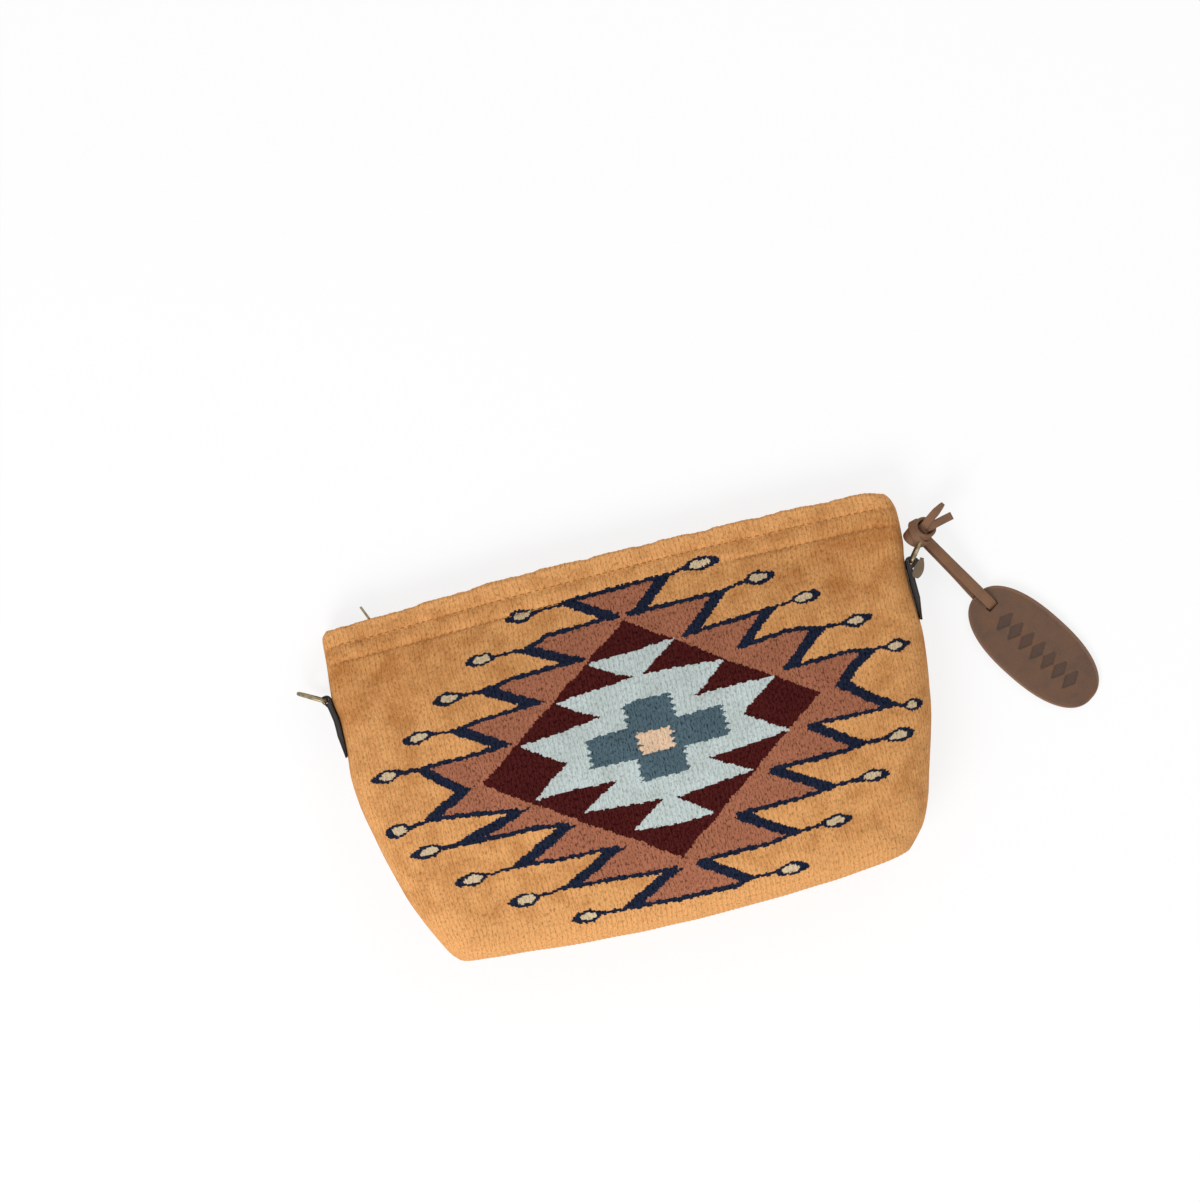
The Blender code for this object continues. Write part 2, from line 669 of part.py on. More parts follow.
def zip_parts():
    inner_half = TOP_DEPTH / 2 - WALL
    cord_in = ROW_GAP / 2 + TOOTH_LENGTH
    cord_out = cord_in + CORD_WIDTH
    first = SLIDER_X - SLIDER_LENGTH * 0.25
    last = ZIP_RIGHT - 0.006
    count = int((last - first) / TOOTH_PITCH)
    parts = []
    for label, way in (("front", 1), ("back", -1)):
        shift = TOOTH_PITCH / 2 if way < 0 else 0.0
        flat_out = inner_half - CLEARANCE
        flat_in = cord_out + CLEARANCE
        low, high = ZIP_Y - TAPE_THICKNESS / 2, ZIP_Y + TAPE_THICKNESS / 2
        profile = [
            (low, flat_in), (high, flat_in), (high, flat_out), (ZIP_Y - TAPE_TURN_DOWN, flat_out),
            (ZIP_Y - TAPE_TURN_DOWN, flat_out - TAPE_THICKNESS), (low, flat_out - TAPE_THICKNESS),
        ]
        tape = prism(
            f"zip_tape_{label}", profile, ZIP_LEFT, ZIP_RIGHT,
            lambda y, z, x, way=way: Vector((x, y, ZIP_Z + way * z)),
        )
        linear_colour(tape, tape.name, TAPE_CLOTH, 0.9)
        comb = [(first, cord_out), (first, cord_in)]
        for i in range(count):
            left = first + shift + TOOTH_PITCH * i + 0.0002
            comb += [
                (left, cord_in), (left, ROW_GAP / 2), (left + TOOTH_WIDTH, ROW_GAP / 2),
                (left + TOOTH_WIDTH, cord_in),
            ]
        end = first + TOOTH_PITCH * (count + 0.5) + 0.0002
        comb += [(end, cord_in), (end, cord_out)]
        teeth = prism(
            f"zip_teeth_{label}", comb, ZIP_Y - TOOTH_HEIGHT / 2, ZIP_Y + TOOTH_HEIGHT / 2,
            lambda x, z, y, way=way: Vector((x, y, ZIP_Z + way * z)),
        )
        linear_colour(teeth, teeth.name, BRASS, 0.4, 1.0)
        stop_right = SLIDER_X - SLIDER_LENGTH / 2 - CLEARANCE
        stop = box(
            f"zip_top_stop_{label}",
            (stop_right - STOP_LENGTH, ZIP_Y - TOOTH_HEIGHT / 2, ZIP_Z + way * ROW_GAP),
            (stop_right, ZIP_Y + TOOTH_HEIGHT / 2, ZIP_Z + way * cord_out),
        )
        linear_colour(stop, stop.name, BRASS, 0.4, 1.0)
        parts.append((tape, teeth, stop))
    stop_left = first + TOOTH_PITCH * (count + 0.5) + 0.0002 + CLEARANCE
    stop = box(
        "zip_bottom_stop",
        (stop_left, ZIP_Y - TOOTH_HEIGHT / 2, ZIP_Z - cord_out),
        (stop_left + STOP_LENGTH, ZIP_Y + TOOTH_HEIGHT / 2, ZIP_Z + cord_out),
    )
    linear_colour(stop, stop.name, BRASS, 0.4, 1.0)


def slider_outline(half):
    """The slider's plate seen from above the zip: wide at its nose, narrower at its tail."""
    back, nose = SLIDER_LENGTH / 2, -SLIDER_LENGTH / 2
    return [
        (nose, -half * 0.55), (nose + 0.0022, -half), (nose + 0.0050, -half), (back, -half * 0.86),
        (back, half * 0.86), (nose + 0.0050, half), (nose + 0.0022, half), (nose, half * 0.55),
    ]


def zip_slider():
    cord_out = ROW_GAP / 2 + TOOTH_LENGTH + CORD_WIDTH
    half = cord_out + 0.0004 + SLIDER_LIP
    inside = TOOTH_HEIGHT / 2 + 0.0004
    outside = inside + SLIDER_PLATE
    lip_edge = TAPE_THICKNESS / 2 + 0.0004

    def place(x, z, y):
        return Vector((SLIDER_X + x, ZIP_Y + y, ZIP_Z + z))

    def block(name, low, high):
        outline = [(low[0], low[1]), (high[0], low[1]), (high[0], high[1]), (low[0], high[1])]
        return prism(name, outline, low[2], high[2], place)

    slider = prism("zip_slider", slider_outline(half), inside, outside, place)
    slider = combine(slider, prism("under", slider_outline(half), -outside, -inside, place), "UNION")
    nose, tail = -SLIDER_LENGTH / 2, SLIDER_LENGTH / 2
    for way in (-1, 1):
        for up in (-1, 1):
            z = sorted((way * (cord_out + 0.0004), way * (half - 0.0005)))
            y = sorted((up * lip_edge, up * (inside + 0.0003)))
            lip = block("lip", (nose + 0.0028, z[0], y[0]), (tail - 0.0022, z[1], y[1]))
            slider = combine(slider, lip, "UNION")
    divider = block(
        "divider", (nose + 0.0006, -DIVIDER_WIDTH / 2, -inside - 0.0003),
        (nose + 0.0034, DIVIDER_WIDTH / 2, inside + 0.0003),
    )
    slider = combine(slider, divider, "UNION")
    rise = outside + BRIDGE_RISE
    path = [
        Vector((SLIDER_X + x, ZIP_Y + y, ZIP_Z))
        for x, y in (
            (-0.0042, outside - 0.0006), (-0.0041, outside + 0.0010), (-0.0034, rise - 0.0004),
            (-0.0022, rise), (0.0022, rise), (0.0034, rise - 0.0004), (0.0041, outside + 0.0010),
            (0.0042, outside - 0.0006),
        )
    ]
    bridge = sweep("bridge", path, circle(BRIDGE_WIRE / 2, 8), Vector((0, 0, 1)))
    slider = combine(slider, bridge, "UNION")
    linear_colour(slider, "zip_slider", BRASS, 0.4, 1.0)
    return Vector((SLIDER_X, ZIP_Y + rise, ZIP_Z))


def zip_pull(pivot):
    """A short plate whose eye rides on the slider's bridge."""
    root, tip = -PULL_EYE / 2 - 0.0009, PULL_LENGTH
    w = PULL_WIDTH / 2
    outline = [
        (root, -w * 0.55), (root + 0.0009, -w * 0.86), (0.0012, -w), (tip - 0.0022, -w * 0.92),
        (tip - 0.0006, -w * 0.66), (tip, -w * 0.3), (tip, w * 0.3), (tip - 0.0006, w * 0.66),
        (tip - 0.0022, w * 0.92), (0.0012, w), (root + 0.0009, w * 0.86), (root, w * 0.55),
    ]
    lean = Matrix.Rotation(PULL_LEAN, 3, "Z")

    def place(y, z, x):
        return pivot + lean @ Vector((x, y, z))

    t = PULL_THICKNESS / 2
    pull = prism("zip_pull", outline, -t, t, place)
    eye = PULL_EYE / 2
    slot = [(-eye, -0.0016), (eye, -0.0016), (eye, 0.0016), (-eye, 0.0016)]
    pull = combine(pull, prism("slot", slot, -0.01, 0.01, place), "DIFFERENCE")
    hole = circle(0.0010, 12, (tip - 0.0024, 0.0))
    pull = combine(pull, prism("hole", hole, -0.01, 0.01, place), "DIFFERENCE")
    linear_colour(pull, "zip_pull", BRASS, 0.4, 1.0)


def bar_place(edge, way, y):
    """Where the bar of a D-ring runs: outside the bag's side by the leather's thickness."""
    loop = RING_WIRE / 2 + CLEARANCE + TAB_LEATHER
    return Vector((side_x(y, edge) + way * (CLEARANCE + loop), y, middle_z(y)))


def d_ring(name, bar, angle):
    """A wire D in an upright plane, its straight bar along Z."""
    out = Vector((math.cos(angle), math.sin(angle), 0))
    half, corner = RING_WIDTH / 2, 0.0014
    path = [bar + Vector((0, 0, z)) for z in (-half + corner, 0.0, half - corner)]
    for i in range(17):
        t = math.pi * (0.5 - (i + 0.55) / 17.1)
        path.append(bar + out * RING_DEPTH * math.cos(t) + Vector((0, 0, half * math.sin(t))))
    ring = sweep(name, path, circle(RING_WIRE / 2, 8), out.cross(Vector((0, 0, 1))), closed=True)
    ring.location = bar
    ring.data.transform(Matrix.Translation(-bar))
    linear_colour(ring, name, BRASS, 0.38, 1.0)
    return bar + out * RING_DEPTH


def tab(name, edge, way, ring_y, end_y, tongue):
    """A leather strip looped round a ring's bar, its tail down the bag's side."""
    bar = bar_place(edge, way, ring_y)
    radius = RING_WIRE / 2 + CLEARANCE + TAB_LEATHER
    stations = [end_y + (ring_y - radius * 1.2 - end_y) * i / 7 for i in range(8)]
    against = [(side_x(y, edge) + way * CLEARANCE, y) for y in stations]
    loop = [
        (bar.x - way * radius * math.cos(t), bar.y + radius * math.sin(t))
        for t in [math.radians(10 + 150 * i / 10) for i in range(11)]
    ]
    outside = []
    for i, y in reversed(list(enumerate(stations))):
        thick = TAB_LEATHER * (0.55 + 1.35 * min(i / 3, 1.0))
        outside.append((side_x(y, edge) + way * (CLEARANCE + thick), y))
    if tongue:
        x = bar.x + way * radius
        low = ring_y - TONGUE_LENGTH
        loop[-2:] = [
            (x + way * 0.0006, ring_y + 0.0006), (x + way * 0.0014, ring_y - 0.0020),
            (x + way * 0.0012, low), (x - way * 0.0008, low), (x - way * 0.0012, ring_y - 0.0024),
        ]
    outline = against + loop + outside
    if way > 0:
        outline.reverse()
    half = TAB_WIDTH / 2

    def place(x, y, z):
        return Vector((x, y, z + middle_z(min(y, ring_y))))

    strip = prism(name, outline, -half, half, place)
    hole = circle(RING_WIRE / 2 + CLEARANCE, 16, (bar.x, bar.y))
    cutter = prism("bar_hole", hole, bar.z - 0.02, bar.z + 0.02)
    strip = combine(strip, cutter, "DIFFERENCE")
    linear_colour(strip, name, BLACK_LEATHER, 0.6)
    return bar


def tag_frame(bow):
    """The tag's own directions, tipped so that its far end rests on the surface."""
    lift = THONG_THICKNESS + 0.0004
    slope = lift / TAG_LENGTH
    along = Vector((math.cos(TAG_ANGLE), math.sin(TAG_ANGLE), -slope)).normalized()
    across = Vector((-math.sin(TAG_ANGLE), math.cos(TAG_ANGLE), 0.0))
    up = along.cross(across)
    centre = Vector((bow.x + TAG_OUT, bow.y - TAG_DOWN, lift / 2))
    return lambda a, b, h: centre + along * a + across * b + up * h


def tag_outline(inset, power=2.35, sides=44):
    a, b = TAG_LENGTH / 2 - inset, TAG_WIDTH / 2 - inset
    points = []
    for i in range(sides):
        t = 2 * math.pi * i / sides
        c, s = math.cos(t), math.sin(t)
        points.append((
            a * math.copysign(abs(c) ** (2 / power), c), b * math.copysign(abs(s) ** (2 / power), s)
        ))
    return points


def hang_tag(place):
    levels = [(0.0, TAG_EDGE), (TAG_EDGE, 0.0), (TAG_THICKNESS - TAG_EDGE, 0.0), (TAG_THICKNESS, TAG_EDGE)]
    rings = [[place(a, b, h) for a, b in tag_outline(inset)] for h, inset in levels]
    tag = Solid().stack(rings).object("hang_tag")
    slit_at = -TAG_LENGTH / 2 + SLIT_FROM_END
    w, t = THONG_WIDTH / 2 + 0.0005, THONG_THICKNESS / 2 + 0.0005
    slit = [(slit_at - t, -w), (slit_at + t, -w), (slit_at + t, w), (slit_at - t, w)]
    tag = combine(tag, prism("slit", slit, -0.01, 0.01, place), "DIFFERENCE")
    pitch = 0.0088
    for i in range(LOZENGES):
        middle = (i - (LOZENGES - 1) / 2) * pitch + 0.003
        lozenge = [(middle - 0.0034, 0), (middle, -0.0058), (middle + 0.0034, 0), (middle, 0.0058)]
        stamp = prism("stamp", lozenge, TAG_THICKNESS - LOZENGE_DEPTH, 0.01, place)
        tag = combine(tag, stamp, "DIFFERENCE")
    linear_colour(tag, "hang_tag", BROWN_LEATHER, 0.55)


def tag_thong(bow, place):
    """One leather lace: its loop round the ring's bow, knot, two tails, and its loop in the tag's slit."""
    inner = RING_WIRE / 2 + 0.0006
    centre_line = [bow + Vector((a, b, 0)) for a, b in circle(inner + EYELET_TUBE, 20)]
    thong = sweep("tag_thong", centre_line, circle(EYELET_TUBE, 8), Vector((0, 0, 1)), closed=True)

    def at(angle, radius, z):
        t = math.radians(angle)
        return bow + Vector((radius * math.cos(t), radius * math.sin(t), z))

    for level in (1, -1):
        turn_path = [at(a, 0.0047, level * 0.0019 * b) for a, b in
                     ((172, 0.2), (155, 0.8), (135, 1.0), (112, 1.0), (88, 1.0), (64, 0.8), (40, 0.3))]
        arc = sweep("arc", curve_through(turn_path, 2), circle(0.0014, 8), Vector((0, 0, 1)))
        thong = combine(thong, arc, "UNION")
    lobe = Solid().stack([
        [at(148, 0.0052, 0) + Vector((r * math.cos(a), r * math.sin(a), h)) for a in
         [2 * math.pi * k / 12 for k in range(12)]]
        for r, h in ((0.0010, -0.0030), (0.0023, -0.0023), (0.0030, -0.0009), (0.0030, 0.0009),
                     (0.0023, 0.0023), (0.0010, 0.0030))
    ]).object("lobe")
    thong = combine(thong, lobe, "UNION")
    strip = strap_section(0.0030, 0.0014)
    for controls in (
        [at(100, 0.0046, 0.0012), at(80, 0.0070, 0.0022), at(64, 0.0105, 0.0030), at(50, 0.0142, 0.0022)],
        [at(66, 0.0044, -0.0008), at(42, 0.0070, -0.0012), at(32, 0.0105, -0.0004), at(25, 0.0145, 0.0004)],
    ):
        tail = sweep("tail", curve_through(controls, 3), strip, Vector((0, 0, 1)))
        thong = combine(thong, tail, "UNION")
    slit_at = -TAG_LENGTH / 2 + SLIT_FROM_END
    t = THONG_THICKNESS / 2
    near = -TAG_LENGTH / 2 - 0.0040
    above, below = TAG_THICKNESS + 0.0004 + t, -0.0004 - t
    loop = [
        (near, (above + below) / 2), (near + 0.0012, above * 0.8), (near + 0.0036, above),
        (slit_at - 0.0022, above), (slit_at - 0.0006, above * 0.9), (slit_at, above * 0.62),
        (slit_at, TAG_THICKNESS * 0.4), (slit_at - 0.0006, below * 0.7), (slit_at - 0.0022, below),
        (near + 0.0036, below), (near + 0.0012, below * 0.6),
    ]
    points = [place(a, 0, h) for a, h in loop]
    section = strap_section(THONG_WIDTH, THONG_THICKNESS, 0.0003)
    across = (place(0, 1, 0) - place(0, 0, 0)).normalized()
    rings = []
    for i, point in enumerate(points):
        ahead = (points[(i + 1) % len(points)] - points[i - 1]).normalized()
        out = ahead.cross(across)
        rings.append([point + across * a + out * b for a, b in section])
    band = Solid()
    for i in range(len(rings)):
        band.strip(rings[i], rings[(i + 1) % len(rings)], closed=True)
    thong = combine(thong, band.object("band"), "UNION")
    join = place(near + 0.0002, 0, (above + below) / 2)
    start = at(-59, inner + EYELET_TUBE, 0)
    run = join - start
    controls = [start, start + run * 0.3 + Vector((0.0006, 0.0002, 0.0004)),
                start + run * 0.7 + Vector((0.0002, 0, -0.0004)), join]
    doubled = strap_section(THONG_WIDTH * 0.96, 0.0018)
    thong = combine(
        thong, sweep("run", curve_through(controls, 4), doubled, Vector((0, 0, 1))), "UNION"
    )
    thong.location = bow
    thong.data.transform(Matrix.Translation(-bow))
    linear_colour(thong, "tag_thong", BROWN_LEATHER, 0.6)


def build():
    for obj in list(bpy.data.objects):
        bpy.data.objects.remove(obj)
    linear_colour(woven_shell(), "woven_shell", WOOL["ochre"], 0.95)
    linear_colour(lining(), "lining", LINING_CLOTH, 0.9)
    colour_fields()
    zip_parts()
    zip_pull(zip_slider())
    left_bar = tab("left_tab", LEFT_EDGE, -1, LEFT_RING_Y, LEFT_TAB_END_Y, tongue=False)
    right_bar = tab("right_tab", RIGHT_EDGE, 1, RIGHT_RING_Y, RIGHT_TAB_END_Y, tongue=True)
    d_ring("left_d_ring", left_bar, LEFT_RING_ANGLE)
    bow = d_ring("right_d_ring", right_bar, RIGHT_RING_ANGLE)
    place = tag_frame(bow)
    hang_tag(place)
    tag_thong(bow, place)


build()
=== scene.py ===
"""Dresses the clutch bag: wool tapestry, stitched hem, zip, D-rings, tabs, thong and tag."""

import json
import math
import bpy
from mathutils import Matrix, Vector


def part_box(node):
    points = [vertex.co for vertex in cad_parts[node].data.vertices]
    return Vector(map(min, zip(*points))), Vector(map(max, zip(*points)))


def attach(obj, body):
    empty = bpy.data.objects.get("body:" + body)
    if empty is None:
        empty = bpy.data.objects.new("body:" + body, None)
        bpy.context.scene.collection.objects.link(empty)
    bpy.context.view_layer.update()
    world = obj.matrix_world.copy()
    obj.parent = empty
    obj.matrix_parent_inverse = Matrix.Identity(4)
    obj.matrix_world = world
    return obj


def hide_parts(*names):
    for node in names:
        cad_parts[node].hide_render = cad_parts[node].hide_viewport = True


bl_info = {
    "name": "Tapestry clutch bag",
    "version": (1, 0, 0),
    "blender": (4, 5, 0),
    "location": "3D View > Sidebar > Clutch bag",
    "description": "Builds the looks of a zip-top clutch bag woven in wool tapestry",
    "category": "Object",
}

import bmesh
import bpy
import numpy as np
from bpy.props import FloatProperty, FloatVectorProperty, IntProperty, PointerProperty
from mathutils import Matrix, Vector

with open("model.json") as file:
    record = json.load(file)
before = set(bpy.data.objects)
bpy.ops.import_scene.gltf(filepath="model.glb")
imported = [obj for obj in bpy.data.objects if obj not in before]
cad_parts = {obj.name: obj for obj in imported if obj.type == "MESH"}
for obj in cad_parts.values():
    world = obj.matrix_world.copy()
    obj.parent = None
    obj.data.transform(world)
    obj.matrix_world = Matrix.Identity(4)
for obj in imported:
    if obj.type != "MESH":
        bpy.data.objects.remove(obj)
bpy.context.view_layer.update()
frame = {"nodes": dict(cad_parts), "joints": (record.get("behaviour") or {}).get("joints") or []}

MM = 0.001
FRONT, BACK = 1, -1
# The bag lies 14.4 degrees round in the picture
PICTURE_RIGHT, PICTURE_UP = Vector((0.9686, -0.2487, 0)), Vector((0.2487, 0.9686, 0))
# The camera hangs over this point at this height; it sees SEEN_WIDTH at the drawing's height
CAMERA_OVER, CAMERA_UP = (-0.0019, 0.0576), 2.6
DRAWN_UP, SEEN_WIDTH = 0.014, 0.5239

# The bag's outline, in millimetres
WALL = 3.0
TOP_DEPTH, BASE_DEPTH = 18.0, 50.0
TOP, HEIGHT = 77.0, 163.0
BASE_ROUND = 12.0
SIDE_ROUND_SHARE = 0.55
BELLY_REACH = 75.0
SIDE_POWER, BASE_POWER = 2.5, 3.2
RIM = 1.5
HEM_ROWS = (8.2, 16.0)
LEFT_EDGE = [
    (73.3, -122.5), (71.5, -123.5), (68, -123.9), (60, -124.5), (50, -125.5), (43, -125.8),
    (35, -124.6), (20, -125.0), (10, -125.8), (0, -125.2), (-10, -123.8), (-20, -122.0),
    (-30, -119.8), (-40, -117.0), (-50, -114.0), (-60, -110.0), (-70, -105.2), (-75, -102.4),
    (-78.2, -99.4),
]
RIGHT_EDGE = [
    (70.5, 131.0), (68, 132.0), (64, 132.8), (60, 133.0), (50, 132.5), (43, 131.3), (35, 130.8),
    (20, 130.9), (10, 131.0), (0, 130.0), (-10, 128.5), (-20, 126.5), (-30, 124.0), (-40, 121.2),
    (-50, 118.0), (-60, 114.8), (-70, 110.4), (-75, 106.6), (-79.2, 102.6),
]
TOP_EDGE = [
    (-122.5, 73.3), (-120.6, 74.7), (-117, 75.1), (-100, 75.2), (-70, 76.0), (-40, 76.8),
    (0, 77.0), (30, 77.0), (60, 76.4), (85, 75.7), (105, 75.0), (120, 74.2), (127, 73.1),
    (129.4, 72.0), (131.0, 70.5),
]
BASE_EDGE = [
    (-99.4, -78.2), (-97.4, -79.2), (-93, -80.0), (-70, -82.0), (-45, -84.2), (-20, -85.5),
    (0, -86.0), (25, -86.0), (50, -85.5), (72, -84.4), (88, -82.9), (97, -81.6), (100.8, -80.6),
    (102.6, -79.2),
]
SIDE_RISE = [
    (-0.1, 0.0), (0, 0), (0.1, 0.06), (0.2, 0.16), (0.4, 0.38), (0.6, 0.6), (0.8, 0.82), (1, 1),
]
FRONT_RISE = [
    (-0.1, 0.0), (0, 0), (0.06, 0.015), (0.1, 0.06), (0.2, 0.31), (0.3, 0.55), (0.45, 0.8),
    (0.6, 0.96), (0.75, 1.05), (0.9, 1.07), (1.0, 1.0),
]

# The tapestry, in millimetres from the middle of the bag
DIAMOND = [(6, 47), (-71.5, -7.5), (5, -59.6), (81, -5)]
STAR = [
    (-15.5, 32.2), (-3, 32.6), (26, 34), (8, 22), (45, 20), (28, 7.5), (64.5, 7), (46, -5.5),
    (64.5, -17.5), (27, -20.5), (44, -30), (9, -33.5), (24, -44.5), (5, -44.6), (-13, -43.5),
    (4, -33), (-32, -30), (-14, -20), (-51, -19.5), (-33, -7), (-51.5, 4.5), (-14, 8.5),
    (-32, 19), (-14, 20.8), (4, 22),
]
CROSS = [
    (-3.5, 11.5), (-3.5, 0.5), (-23, 0.5), (-23, -13), (-3.5, -13), (-3.5, -23.5), (18, -23.5),
    (18, -13), (38.5, -13), (38.5, 0.5), (18, 0.5), (18, 11.5),
]
CENTRE = [(-0.5, -2.5), (-0.5, -12), (14, -12), (14, -2.5)]
ZIGZAG = [
    (-16, 61), (4, 49.4), (-28, 49), (-39, 45.5), (-17, 34.2), (-48, 34.5), (-60, 32.3),
    (-39.5, 21), (-65, 20.5), (-76, 18.5), (-57.5, 6.5), (-95, 5.5), (-80, -8), (-97, -16.5),
    (-70, -20), (-59, -21.8), (-85, -30.2), (-55, -31.5), (-39, -33.4), (-64.5, -45.7),
    (-45, -47), (-21, -48), (-45.5, -60), (-30, -61.5), (1, -62.8), (-23, -75), (0, -77),
    (25, -77), (31, -75.7), (11, -62.8), (45, -63), (56, -61.5), (32.8, -47.4), (66, -47),
    (75.5, -46), (52.4, -32), (85, -32), (93, -31.2), (73, -18), (98, -18), (110, -18), (91, -4),
    (106, 7.7), (98, 9.5), (68.6, 9.2), (88, 22.7), (75, 24.5), (51.5, 23), (69, 36.4),
    (45, 34.6), (30.8, 33.8), (50, 48.2), (30, 48.7), (9, 49.2), (28, 61.3),
]
THICK = [
    [(-16, 61), (1, 48.9)], [(-39, 45.5), (-19.6, 34.8)], [(-60, 32.3), (-41.4, 21.6)],
    [(-76, 18.5), (-59.4, 7.2)], [(-95, 5.5), (-80.6, -8), (-97, -16.5)],
    [(-61.6, -22.6), (-85, -30.2)],
    [(-41.6, -34.8), (-64.5, -45.7)], [(-23.4, -49.4), (-45.5, -60)], [(-1.8, -64.8), (-23, -75)],
    [(13.4, -64.8), (31, -75.7)], [(35.2, -49), (56, -61.5)], [(54.8, -33.6), (75.5, -46)],
    [(75.2, -19.2), (93, -31.2)], [(106, 7.7), (91.4, -4), (110, -18)], [(71.8, 9.9), (88, 22.7)],
    [(54.4, 23.8), (69, 36.4)], [(33.2, 34.6), (50, 48.2)], [(12.4, 48.4), (28, 61.3)],
]
THIN = [
    [(-16, 61.2), (28, 61.3)], [(4, 49.6), (-28, 49), (-39, 45.5)],
    [(-17, 34.6), (-48, 34.5), (-60, 32.3)], [(-39.5, 21.2), (-65, 20.5), (-76, 18.5)],
    [(-57.5, 6.6), (-105, 6.3)], [(-97, -16.5), (-70, -20), (-59, -21.8)],
    [(-85, -30.2), (-55, -31.5), (-39, -33.6)], [(-64.5, -45.7), (-45, -47), (-21, -48.2)],
    [(-45.5, -60), (-30, -61.5), (1, -63.6)], [(-23, -75), (0, -77), (25, -77), (31, -75.7)],
    [(11, -63.6), (45, -63), (56, -61.5)], [(33, -47.8), (66, -47), (75.5, -46)],
    [(52.4, -32.4), (85, -32), (93, -31.2)], [(73, -18), (98, -18), (110, -18)],
    [(68.8, 9.4), (98, 9.5), (106, 7.7)], [(51.6, 23.2), (75, 24.5), (88, 22.7)],
    [(31, 34), (45, 34.8), (69, 36.4)], [(9, 49.4), (30, 48.7), (50, 48.2)],
]
BAR_THICK, LINE_HALF, STEM_HALF = 4.5, 0.98, 0.75
# Each eye: its centre, half length and half height, and where its stem starts
EYES = [
    (-37, 59.5, 6.5, 2.7, (-16, 61)), (-59, 45.5, 6.5, 2.7, (-39, 45.5)),
    (-77, 32.5, 6.5, 2.7, (-60, 32.3)), (-93.5, 19.2, 6.5, 2.7, (-76, 18.5)),
    (-111, 6.4, 6.2, 2.7, (-100, 6.3)), (-112.5, -17.5, 5.0, 3.0, (-97, -16.5)),
    (-102, -30, 6.5, 2.8, (-85, -30.2)), (-86.5, -46, 6.5, 2.8, (-64.5, -45.7)),
    (-66.5, -60.5, 6.5, 2.8, (-45.5, -60)), (-41.5, -74.4, 6.5, 2.6, (-23, -75)),
    (50, -76.4, 6.5, 2.6, (31, -75.7)), (74, -61, 6.5, 2.7, (56, -61.5)),
    (94.5, -46, 6.5, 2.7, (75.5, -46)), (110.5, -31.6, 6.0, 2.7, (93, -31.2)),
    (119.6, -20.2, 3.6, 2.7, (110, -18)), (119, 6.8, 5.0, 2.7, (106, 7.7)),
    (104.5, 21.7, 6.2, 2.7, (88, 22.7)), (85.5, 37, 6.5, 2.7, (69, 36.4)),
    (67.5, 50.3, 6.5, 2.7, (50, 48.2)), (45, 62.8, 7.5, 2.7, (28, 61.3)),
]
FIELDS = (
    ("ochre_weave", "ochre", ("woven_shell",), "ochre_wool"),
    ("terracotta_field", "terracotta", ("motif_terracotta",), "terracotta_wool"),
    ("maroon_diamond", "maroon", ("motif_maroon_diamond",), "maroon_wool"),
    ("pale_blue_star", "pale_blue", ("motif_pale_blue_star",), "pale_blue_wool"),
    ("slate_cross", "slate", ("motif_slate_cross",), "slate_wool"),
    ("peach_square", "peach", ("motif_peach_square",), "peach_wool"),
    ("navy_zigzag", "navy", ("motif_navy_zigzag",), "navy_wool"),
    ("cream_eyes", "cream", tuple(f"motif_eye_{i:02d}" for i in range(1, 21)), "cream_wool"),
)
OCHRE, TERRACOTTA, MAROON, PALE_BLUE, SLATE, PEACH, NAVY, CREAM = range(8)


def linear(colour):
    """An sRGB hex colour as three linear numbers."""
    parts = [int(colour[i : i + 2], 16) / 255 for i in (1, 3, 5)]
    return tuple(p / 12.92 if p <= 0.04045 else ((p + 0.055) / 1.055) ** 2.4 for p in parts)


def dye(label, text, colour):
    """A colour that a user can change, from its sRGB hex value."""
    return FloatVectorProperty(
        name=label, description=text, subtype="COLOR", size=3, min=0, max=1, default=linear(colour)
    )


class ClutchWeave(bpy.types.PropertyGroup):
    """Threads of the tapestry."""

    rib: FloatProperty(
        name="Rib", description="Spacing of the warp ribs, in millimetres", default=2.2,
        min=1, max=5,
    )
    pick: FloatProperty(
        name="Pick", description="Spacing of the weft picks, in millimetres", default=1.1,
        min=0.5, max=3,
    )
    relief: FloatProperty(
        name="Relief", description="Height of the ribs, in metres", default=0.00016, min=0,
        max=0.001, unit="LENGTH", precision=5,
    )
    slack: FloatProperty(
        name="Slack", description="Depth of the cloth's soft dents, in metres", default=0.0006,
        min=0, max=0.003, unit="LENGTH", precision=5,
    )
    stitch_pitch: FloatProperty(
        name="Stitch pitch", description="Length of a hem stitch with its gap, in millimetres",
        default=3.4, min=1.5, max=8,
    )


class ClutchColours(bpy.types.PropertyGroup):
    """Dyes and finishes, entered here as sRGB hex."""

    ochre: dye("Ochre wool", "Ground of the bag", "#D1975D")
    terracotta: dye("Terracotta wool", "Field round the diamond", "#A1654B")
    maroon: dye("Maroon wool", "Diamond", "#430D0B")
    pale_blue: dye("Pale blue wool", "Star", "#B8C4C2")
    slate: dye("Slate wool", "Cross", "#4C616B")
    peach: dye("Peach wool", "Square at the centre", "#DBBB9D")
    navy: dye("Navy wool", "Zigzag lines and eye outlines", "#131C31")
    cream: dye("Cream wool", "Eyes", "#C6B08F")
    thread: dye("Hem thread", "Waxed cotton of the hem stitches", "#A87430")
    brown_leather: dye("Brown leather", "Tag", "#67452C")
    lace_leather: dye("Lace leather", "Thong and knot", "#80583A")
    black_leather: dye("Black leather", "Side tabs", "#2E2723")
    brass: dye("Antique brass", "Rings, slider and pull", "#A59677")


